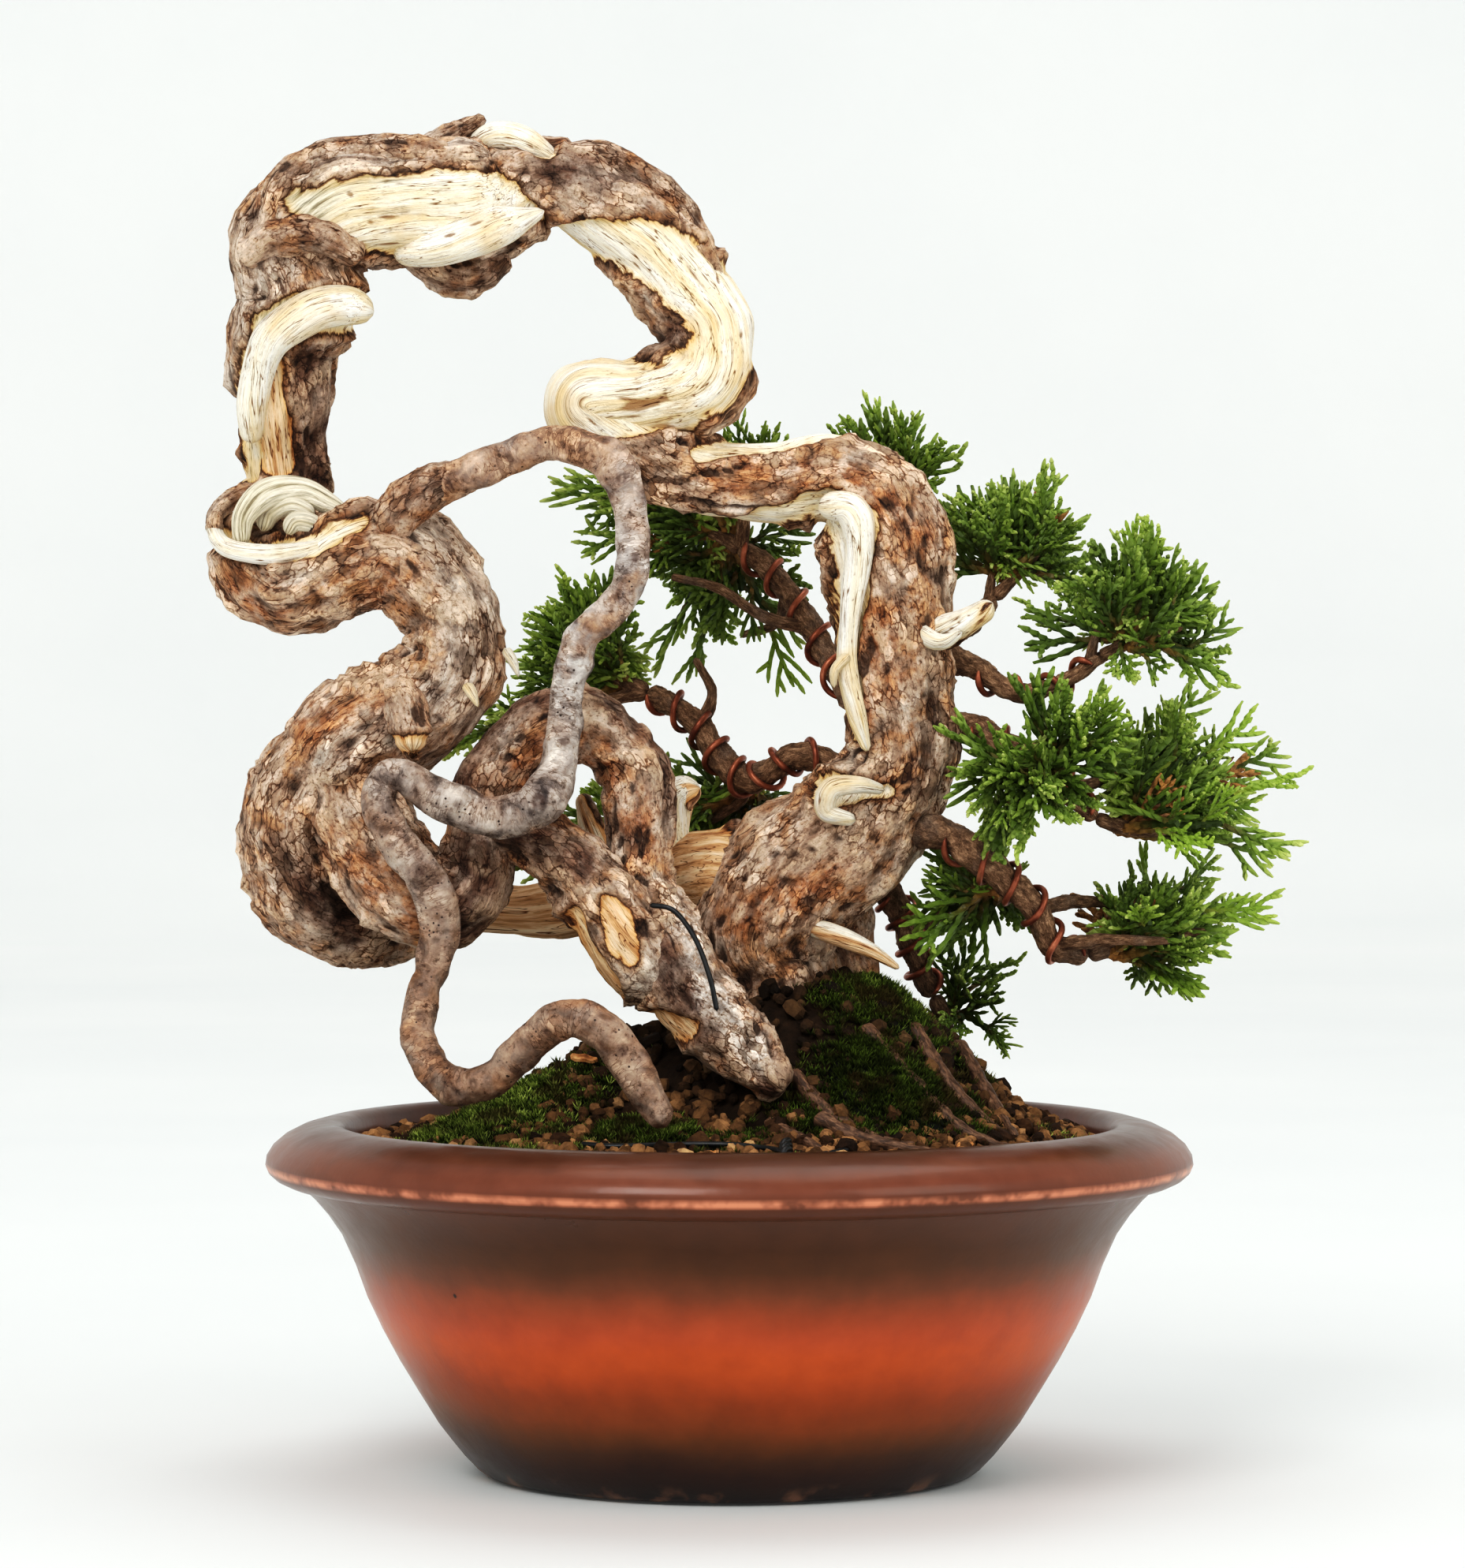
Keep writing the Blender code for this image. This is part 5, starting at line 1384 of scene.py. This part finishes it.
def soil_height(x, y):
    """The height of the soil's top at a place, in mm."""
    r = math.hypot(x, y)
    flat = 54.4 + 2.6 * max(0.0, 1.0 - (r / 62.0) ** 2)
    u = (x - MOUND_X) / (26.0 if x > MOUND_X else 27.0)
    v = (y - MOUND_Y) / (27.0 if y < MOUND_Y else 30.0)
    hump = 12.0 * math.exp(-(((x + 23.0) / 17.0) ** 2 + (y / 20.0) ** 2))
    return flat + hump + MOUND_RISE * math.exp(-0.9 * (u * u + v * v) ** 1.35)


scatter = np.random.default_rng(23)
soil_marks = {"shade": [], "wet": []}
SPOKES = 120
GRANULES = 3650
SOIL_EDGE = 61.2
rings = []
for radius, height in [(37.4, 5.3), (43.4, 8.5), (48.9, 17.0), (53.4, 27.0), (56.8, 35.0), (60.9, 44.0)]:
    rings.append([
        (radius * math.cos(math.tau * k / SPOKES), radius * math.sin(math.tau * k / SPOKES), height)
        for k in range(SPOKES)
    ])
for radius in [62.6, *np.linspace(61.5, 1.2, 60)]:
    ring = []
    for k in range(SPOKES):
        x, y = radius * math.cos(math.tau * k / SPOKES), radius * math.sin(math.tau * k / SPOKES)
        rough = float(lumps(np.array([x, y, 0.0]), 3.2, 71)) * 0.9 + float(
            lumps(np.array([x, y, 0.0]), 1.4, 72)
        ) * 0.5
        ring.append((x, y, soil_height(x, y) - 0.9 + rough * (0.5 if radius > 60 else 1)))
    rings.append(ring)
rings = np.array(rings)
ahead = np.zeros((len(rings), 3))
ahead[0], ahead[-1] = (0, 0, 0), (0, 0, 0.2)
points, faces = sheathe(rings, ahead, np.ones(len(rings)))
soil_skins = [(points, faces)]
soil_marks["shade"].append(np.full(len(points), 0.12))
soil_marks["wet"].append(np.full(len(points), 0.6))
# one granule, a rounded cube of 24 faces, copied with its own squash and turn
clear_selection()
bpy.ops.mesh.primitive_cube_add(size=2)
grain_maker = bpy.context.object
bpy.ops.object.mode_set(mode="EDIT")
bpy.ops.mesh.subdivide(number_cuts=1)
bpy.ops.transform.tosphere(value=0.75)
bpy.ops.object.mode_set(mode="OBJECT")
granule = np.array([vertex.co for vertex in grain_maker.data.vertices])
granule_faces = [list(face.vertices) for face in grain_maker.data.polygons]
bpy.data.objects.remove(grain_maker, do_unlink=True)
placed = 0
while placed < GRANULES:
    x, y = scatter.uniform(-62, 62, 2)
    if math.hypot(x, y) > SOIL_EDGE:
        continue
    mound = (soil_height(x, y) - 56) / 26
    if scatter.random() < 0.55 * min(1, max(0, mound) * 2.2):
        continue
    size = scatter.uniform(0.45, 0.95) if scatter.random() < 0.82 else scatter.uniform(0.95, 1.45)
    shape = granule * (1 + 0.34 * lumps(granule + placed * 3.7, 0.9, 73))[:, None] * scatter.uniform(0.72, 1.15, 3)
    turn_to, _ = np.linalg.qr(scatter.normal(0, 1, (3, 3)))
    if np.linalg.det(turn_to) < 0:
        turn_to[:, 0] *= -1
    z = soil_height(x, y) + scatter.uniform(-0.5, 0.8)
    soil_skins.append((shape @ turn_to * size + (x, y, z), granule_faces))
    soil_marks["shade"].append(np.full(len(granule), scatter.beta(2, 2.6)))
    soil_marks["wet"].append(np.full(len(granule), np.clip(mound * 1.6, 0, 1)))
    placed += 1
earth = grown(
    "soil_granules", *gathered(soil_skins), {key: np.concatenate(value) for key, value in soil_marks.items()},
    smooth=False,
)
clay = Finish("brown_clay_granules")
spot = clay.place()
look = clay.ramp(clay.own("shade"), [
    (0.0, paint(32, 20, 12)), (0.25, paint(76, 52, 32)), (0.5, paint(126, 94, 62)), (0.8, paint(178, 138, 98)),
    (1.0, paint(218, 184, 140)),
])
look = clay.blend(
    0.8, look,
    clay.ramp(clay.grit(spot, 700.0, 4.0, 0.65), [(0.32, (0.42, 0.38, 0.36, 1)), (0.60, (1.1, 1.08, 1.05, 1))]),
    "MULTIPLY",
)
look = clay.blend(
    clay.sum(clay.own("wet"), 0.75, "MULTIPLY"), look,
    clay.ramp(
        clay.grit(spot, 240.0, 4.0), [(0.35, paint(20, 15, 10)), (0.6, paint(54, 40, 26)), (0.8, paint(84, 64, 40))],
    ),
)
clay.done(look, 0.85, clay.bump(clay.grit(spot, 1300.0, 4.0, 0.7), 0.0003, 0.9), IOR=1.45, Specular_IOR_Level=0.3)
earth.data.materials.append(clay.material)
settle(earth, "soil_granules")
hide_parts("soil")
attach(earth, "root")

# ---------------------------------------------------------------- Moss
# Low cushions of short-leaved moss growing on the damp soil: thousands of
# pointed leaflets in small stars, bright on the left and dark on the mound.
# each cushion's centre x and y, spread x and y, and thickness
MOSS = {
    "moss_left": (-40, -14, 13, 14, 2.2),
    "moss_mound_front": (27, -21, 11, 8, 1.8),
    "moss_mound_top": (27, -3, 7, 6, 1.8),
    "moss_middle": (-14, -30, 9, 6, 1.6),
}
MOSS_PATCHES = {
    # centre x, y, spread x, y, how many stars, how bright
    "moss_left": [
        (-40, -16, 15, 15, 1500, 0.8), (-52, -30, 6, 10, 420, 0.9), (-30, -34, 10, 9, 420, 0.75),
        (-24, -12, 8, 8, 260, 0.5),
    ],
    "moss_mound_front": [
        (27, -20, 12, 9, 1300, 0.25), (20, -30, 9, 7, 420, 0.3), (40, -18, 7, 9, 300, 0.2),
        (12, -26, 6, 6, 200, 0.35),
    ],
    "moss_mound_top": [(28, -3, 9, 7, 700, 0.45), (38, 2, 6, 8, 260, 0.35), (20, -8, 7, 5, 260, 0.4)],
    "moss_middle": [
        (-14, -30, 10, 7, 620, 0.5), (0, -36, 8, 6, 300, 0.3), (8, -50, 7, 4, 160, 0.45), (55, -8, 4, 5, 120, 0.8),
    ],
}
# one star of six pointed leaflets, copied with its own turn, lean and size
star = []
for k in range(6):
    a = math.tau * k / 6
    c, s = math.cos(a), math.sin(a)
    star.append([
        (-0.13 * s, 0.13 * c, 0.0), (0.13 * s, -0.13 * c, 0.0), (0.62 * c + 0.1 * s, 0.62 * s - 0.1 * c, 0.55),
        (0.95 * c, 0.95 * s, 1.0),
    ])
star = np.array(star)
leaflets = [[4 * k, 4 * k + 1, 4 * k + 2, 4 * k + 3] for k in range(6)]
moss_green = Finish("moss_leaflets")
spot = moss_green.place()
mottle = moss_green.sum(moss_green.grit(spot, 300.0, 3.0), 0.5, "MULTIPLY")
look = moss_green.ramp(moss_green.sum(moss_green.own("bright"), mottle), [
    (0.10, paint(12, 12, 6)), (0.32, paint(30, 34, 12)), (0.55, paint(58, 68, 22)), (0.80, paint(112, 132, 50)),
    (1.0, paint(186, 200, 112)),
])
look = moss_green.blend(
    moss_green.level(moss_green.grit(spot, 130.0, 4.0), 0.50, 0.58, 0.0, 0.75), look, paint(78, 58, 32),
)
moss_green.done(look, 0.7, moss_green.bump(moss_green.grit(spot, 1500.0), 0.0001), IOR=1.4, Specular_IOR_Level=0.3)
for name, (cx, cy, rx, ry, thick) in MOSS.items():
    bright = []
    rings = []
    for part in np.linspace(1.0, 0.06, 12):
        ring = []
        for k in range(48):
            a = math.tau * k / 48
            edge = 1 + 0.16 * float(lumps(np.array([math.cos(a) * 2, math.sin(a) * 2, cx * 0.1]), 1.0, 81))
            x, y = cx + rx * part * edge * math.cos(a), cy + ry * part * edge * math.sin(a)
            rise = thick * math.sqrt(max(0, 1 - part * part)) + 0.5 * float(lumps(np.array([x, y, 0.0]), 2.6, 82))
            ring.append((x, y, soil_height(x, y) + 0.2 + (rise if part < 1 else -0.8)))
        rings.append(ring)
    rings = np.array(rings)
    ahead = np.zeros((len(rings), 3))
    ahead[0] = (0, 0, 4.0)
    made, sides = sheathe(rings, ahead, np.ones(len(rings)))
    moss_skins = [(made, sides)]
    bright.append(np.full(len(made), -0.1))
    for px, py, sx, sy, count, lightness in MOSS_PATCHES[name]:
        for _ in range(count):
            a, d = scatter.uniform(0, math.tau), math.sqrt(scatter.random()) * (1 + 0.25 * scatter.normal())
            x, y = px + sx * d * math.cos(a), py + sy * d * math.sin(a)
            if math.hypot(x, y) > 61:
                continue
            inside = math.hypot((x - cx) / rx, (y - cy) / ry)
            z = soil_height(x, y) + 0.2 + (thick * math.sqrt(1 - inside * inside) if inside < 1 else 0.0)
            size = scatter.uniform(0.7, 1.35)
            spin = scatter.uniform(0, math.tau)
            turned = star.copy()
            turned[..., 0] = star[..., 0] * math.cos(spin) - star[..., 1] * math.sin(spin)
            turned[..., 1] = star[..., 0] * math.sin(spin) + star[..., 1] * math.cos(spin)
            turned[..., :2] += turned[..., 2:] * scatter.normal(0, 0.25, 2)
            turned[..., 2] *= scatter.uniform(0.8, 1.4)
            moss_skins.append((turned.reshape(-1, 3) * size + (x, y, z - 0.1), leaflets))
            bright.append(np.tile([0.0, 0.0, 0.22, 0.36], 6) + lightness * scatter.uniform(0.0, 0.85))
    cushion = grown(name + "_cushion", *gathered(moss_skins), {"bright": np.concatenate(bright)}, smooth=False)
    cushion.data.materials.append(moss_green.material)
    settle(cushion, name + "_cushion")
    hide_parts(name)
    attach(cushion, "root")

# ---------------------------------------------------------------- Surface roots
# Thin roots that come out of the mound and run down its face into the soil,
# dark purple-brown and damp.
SURFACE_ROOTS = {
    "surface_root_1": [(38, 2), (42, -6), (45, -14), (47, -22)],
    "surface_root_2": [(14, -30), (20, -35), (28, -39), (35, -42)],
}
damp_root = Finish("damp_root_bark")
spot = damp_root.place()
grain = damp_root.own("grain", "Vector")
look = damp_root.ramp(damp_root.grit(damp_root.stretched(grain, (1, 1, 0.4)), 1.3, 5.0, 0.65, 0.3), [
    (0.30, paint(42, 28, 20)), (0.46, paint(88, 64, 48)), (0.60, paint(128, 98, 76)), (0.8, paint(172, 140, 112)),
])
relief = damp_root.bump(damp_root.grit(spot, 800.0, 4.0), 0.0003, 0.6)
damp_root.done(look, 0.6, relief, IOR=1.45)
ROOTLETS = {
    "surface_root_1": [
        [(30, -6, 1.3), (37, -14, 1.2), (44, -19, 1.0), (50, -27, 0.6)],
        [(22, -12, 1.5), (30, -18, 1.3), (38, -25, 1.1), (46, -30, 0.7)],
    ],
    "surface_root_2": [
        [(10, -20, 1.4), (16, -27, 1.4), (23, -33, 1.1), (30, -36, 0.7)],
        [(6, -28, 1.0), (12, -36, 0.9), (16, -42, 0.6)],
    ],
}
for name, spots in SURFACE_ROOTS.items():
    strands = [[(x, y, soil_height(x, y) + 1.4 - 0.25 * i, 1.5 - 0.28 * i) for i, (x, y) in enumerate(spots)]]
    strands += [
        [(x, y, soil_height(x, y) + 0.3 + 0.5 * math.sin(0.7 * x), r) for x, y, r in rootlet]
        for rootlet in ROOTLETS[name]
    ]
    root_skins, root_grain = [], []
    for way in strands:
        line, run = strand_line(way, 0.5)
        along, turn, outward, base = tube(line, 14)
        grain = grain_round(turn, run, 2.0)
        relief = lumps(base, 2.6, 91) * 0.35 + lumps(grain * (1, 1, 0.4), 1.2, 92) * 0.2
        root_skins.append(sheathe(base + outward * relief[..., None], along, line[:, 3]))
        root_grain.append(grain_with_ends(grain))
    rootlet = grown(name + "_bark", *gathered(root_skins), {}, np.concatenate(root_grain))
    rootlet.data.materials.append(damp_root.material)
    settle(rootlet, name + "_bark")
    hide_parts(name)
    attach(rootlet, "root")

# ---------------------------------------------------------------- Black wires
# Black-coated wire that anchors the tree: it crosses the soil, ends in a tight
# twist at the front, and a thinner tie holds the front limb down.
black_wire = Finish("black_coated_wire")
spot = black_wire.place()
black_wire.done(
    black_wire.ramp(black_wire.grit(spot, 400.0, 3.0), [(0.35, paint(14, 14, 15)), (0.65, paint(34, 34, 36))]),
    black_wire.level(black_wire.grit(spot, 600.0), 0.3, 0.7, 0.28, 0.45),
    black_wire.bump(black_wire.grit(spot, 1500.0), 0.00005, 0.5), IOR=1.5,
)


def laid_wire(name, ways, node):
    """Black wire laid along one or more routes, in the place of one node."""
    lengths = []
    for way in ways:
        line, _ = strand_line(way, 0.4)
        along, _, _, rings = tube(line, 12)
        lengths.append(sheathe(rings, along, line[:, 3]))
    wire = grown(name, *gathered(lengths), {})
    wire.data.materials.append(black_wire.material)
    settle(wire, name)
    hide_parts(node)
    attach(wire, "root")


laid_wire("soil_anchor_wire", [
    [
        (x, y, soil_height(x, y) + 1.3, 0.5)
        for x, y in ((-24, -37), (-18, -39.5), (-8, -39), (0, -40), (7, -44), (9, -48))
    ],
    [(x, y, soil_height(x, y) + 0.9, 0.45) for x, y in ((9, -48), (14, -46), (20, -40), (24, -34))],
], "anchor_wire")
top = soil_height(9, -49)
pair = []
for half in (0.0, math.pi):
    pair.append([
        (
            9 + 0.55 * math.cos(half + 0.9 * k), -47 - 0.8 * k,
            top + 3.2 - 0.12 * k + 0.55 * math.sin(half + 0.9 * k), 0.55,
        )
        for k in range(12)
    ])
laid_wire("anchor_wire_knot", pair, "anchor_wire_twist")
laid_wire("front_limb_tie", [[
    (-13, -24.6, 95.5, 0.42), (-9, -26.2, 94.6, 0.42), (-5.5, -27.8, 90, 0.42), (-3.2, -29.6, 84, 0.42),
    (-2, -30.4, 78.5, 0.42),
]], "limb_tie")

# ---------------------------------------------------------------- Bark chips
# Loose splinters of dry wood and bark, a few millimetres long, that fell from the
# dead parts of the tree and lie on the soil.
# x and y in mm, turn in degrees, length in mm
CHIPS = [(-24, -10, 25, 4.5), (-3, -47, 70, 3.0), (24, -48, 120, 4.5), (38, -36, 40, 3.5)]
dry_chip = Finish("dry_wood_chip")
spot = dry_chip.place()
look = dry_chip.ramp(dry_chip.grit(spot, 700.0, 4.0, 0.65), [
    (0.3, paint(120, 74, 40)), (0.5, paint(190, 134, 82)), (0.7, paint(226, 184, 134)),
])
dry_chip.done(look, 0.8, dry_chip.bump(dry_chip.grit(spot, 1200.0, 4.0), 0.0003), IOR=1.45)
for i, (x, y, turn, length) in enumerate(CHIPS):
    z = max(soil_height(x + dx, y + dy) for dx in (-2, 0, 2) for dy in (-2, 0, 2)) + 1.2
    clear_selection()
    bpy.ops.mesh.primitive_grid_add(x_subdivisions=9, y_subdivisions=4, size=1, location=(x * MM, y * MM, z * MM),
                                    rotation=(math.radians(28), math.radians(8 * (-1) ** i), math.radians(turn)))
    chip = bpy.context.object
    chip.scale = (length * MM, length * 0.5 * MM, 1)
    bpy.ops.object.transform_apply(location=False, rotation=False, scale=True)
    for vertex in chip.data.vertices:
        bend = lumps(np.array(vertex.co) / MM + i * 9, 1.6, 95)
        vertex.co.z += float(bend) * 0.5 * MM
        vertex.co.y *= 1 - 0.7 * abs(vertex.co.x / (length * MM / 2)) ** 2
    thick = chip.modifiers.new("thick", "SOLIDIFY")
    thick.thickness = 0.0005
    bpy.ops.object.modifier_apply(modifier="thick")
    bpy.ops.object.shade_smooth_by_angle(angle=math.radians(35))
    chip.data.materials.append(dry_chip.material)
    settle(chip, f"wood_splinter_{i + 1}")
    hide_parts(f"bark_chip_{i + 1}")
    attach(chip, "root")

# ---------------------------------------------------------------- Studio
# A pale round sweep that the pot stands on, glowing a little further out so that
# it stays even. Three large soft boxes light it: front left, right and overhead.
sweep_finish = Finish("studio_sweep")
spot = sweep_finish.place()
far = sweep_finish.add("VectorMath", operation="LENGTH")
sweep_finish.wire(spot, far.inputs["Vector"])
sweep_finish.wire(
    sweep_finish.level(far.outputs["Value"], 0.1, 2.4, 0.045, 0.235), sweep_finish.shader.inputs["Emission Strength"],
)
sweep_finish.done(
    sweep_finish.ramp(sweep_finish.grit(spot, 3.0, 3.0), [(0.3, paint(222, 225, 224)), (0.7, paint(229, 231, 229))]),
    0.62,
    sweep_finish.bump(sweep_finish.grit(spot, 60.0, 2.0), 0.0002, 0.2),
    Emission_Color=(1, 1, 0.99, 1),
)
clear_selection()
bpy.ops.mesh.primitive_circle_add(vertices=96, radius=2.1, fill_type="TRIFAN", location=(0, 0, -0.0004))
sweep = bpy.context.object
bpy.ops.object.mode_set(mode="EDIT")
bpy.ops.mesh.select_all(action="DESELECT")
edit = bmesh.from_edit_mesh(sweep.data)
for edge in edit.edges:
    edge.select_set(edge.is_boundary)
edit.select_flush_mode()
bmesh.update_edit_mesh(sweep.data)
pen = (2.1, 0.0)
for radius, height in [
    (2.3, 0.01), (2.5, 0.05), (2.7, 0.15), (2.85, 0.32), (2.95, 0.55), (3.0, 0.85), (3.02, 1.2), (3.02, 2.2),
]:
    bpy.ops.mesh.extrude_region_move(TRANSFORM_OT_translate={"value": (0, 0, height - pen[1])})
    grow = radius / pen[0]
    bpy.ops.transform.resize(value=(grow, grow, 1), center_override=(0, 0, 0))
    pen = (radius, height)
bpy.ops.object.mode_set(mode="OBJECT")
bpy.ops.object.shade_smooth()
sweep.data.materials.append(sweep_finish.material)
settle(sweep, "studio_floor")

for name, spot, aim, size, power in (
    ("key_box", (-0.55, -1.4, 1.4), (0, 0, 0.10), 0.8, 17.5),
    ("fill_box", (1.2, -1.0, 0.9), (0, 0, 0.10), 1.0, 7.0),
    ("top_box", (0.1, 0.35, 1.7), (0, 0, 0.08), 1.2, 8.5),
):
    clear_selection()
    bpy.ops.object.light_add(type="AREA", location=spot)
    box = bpy.context.object
    box.name = name
    box.data.size = size
    box.data.energy = power
    box.rotation_euler = (Vector(aim) - Vector(spot)).to_track_quat("-Z", "Y").to_euler()

world = bpy.data.worlds.new("studio_air")
scene.world = world
world.use_nodes = True
air = world.node_tree.nodes["Background"]
air.inputs["Color"].default_value = (1.0, 1.0, 1.0, 1)
air.inputs["Strength"].default_value = 0.60

scene.view_settings.view_transform = "Standard"
scene.view_settings.look = "None"
scene.view_settings.use_curve_mapping = True
tone_curve = scene.view_settings.curve_mapping.curves[3]
tone_curve.points.new(0.06, 0.024)
tone_curve.points.new(0.18, 0.120)
tone_curve.points.new(0.45, 0.435)
scene.view_settings.curve_mapping.update()

clear_selection()
bpy.ops.object.camera_add(
    location=(0, -0.95, 0.1314),
    rotation=(math.radians(88.9974), 0, 0),
)
camera = bpy.context.object
camera.name = "front_camera"
camera.data.sensor_fit = "VERTICAL"
camera.data.sensor_height = 36
camera.data.lens = 130.4
camera.data.shift_x = 0.002
camera.data.clip_start = 0.05
camera.data.clip_end = 20
scene.camera = camera

bpy.context.view_layer.update()
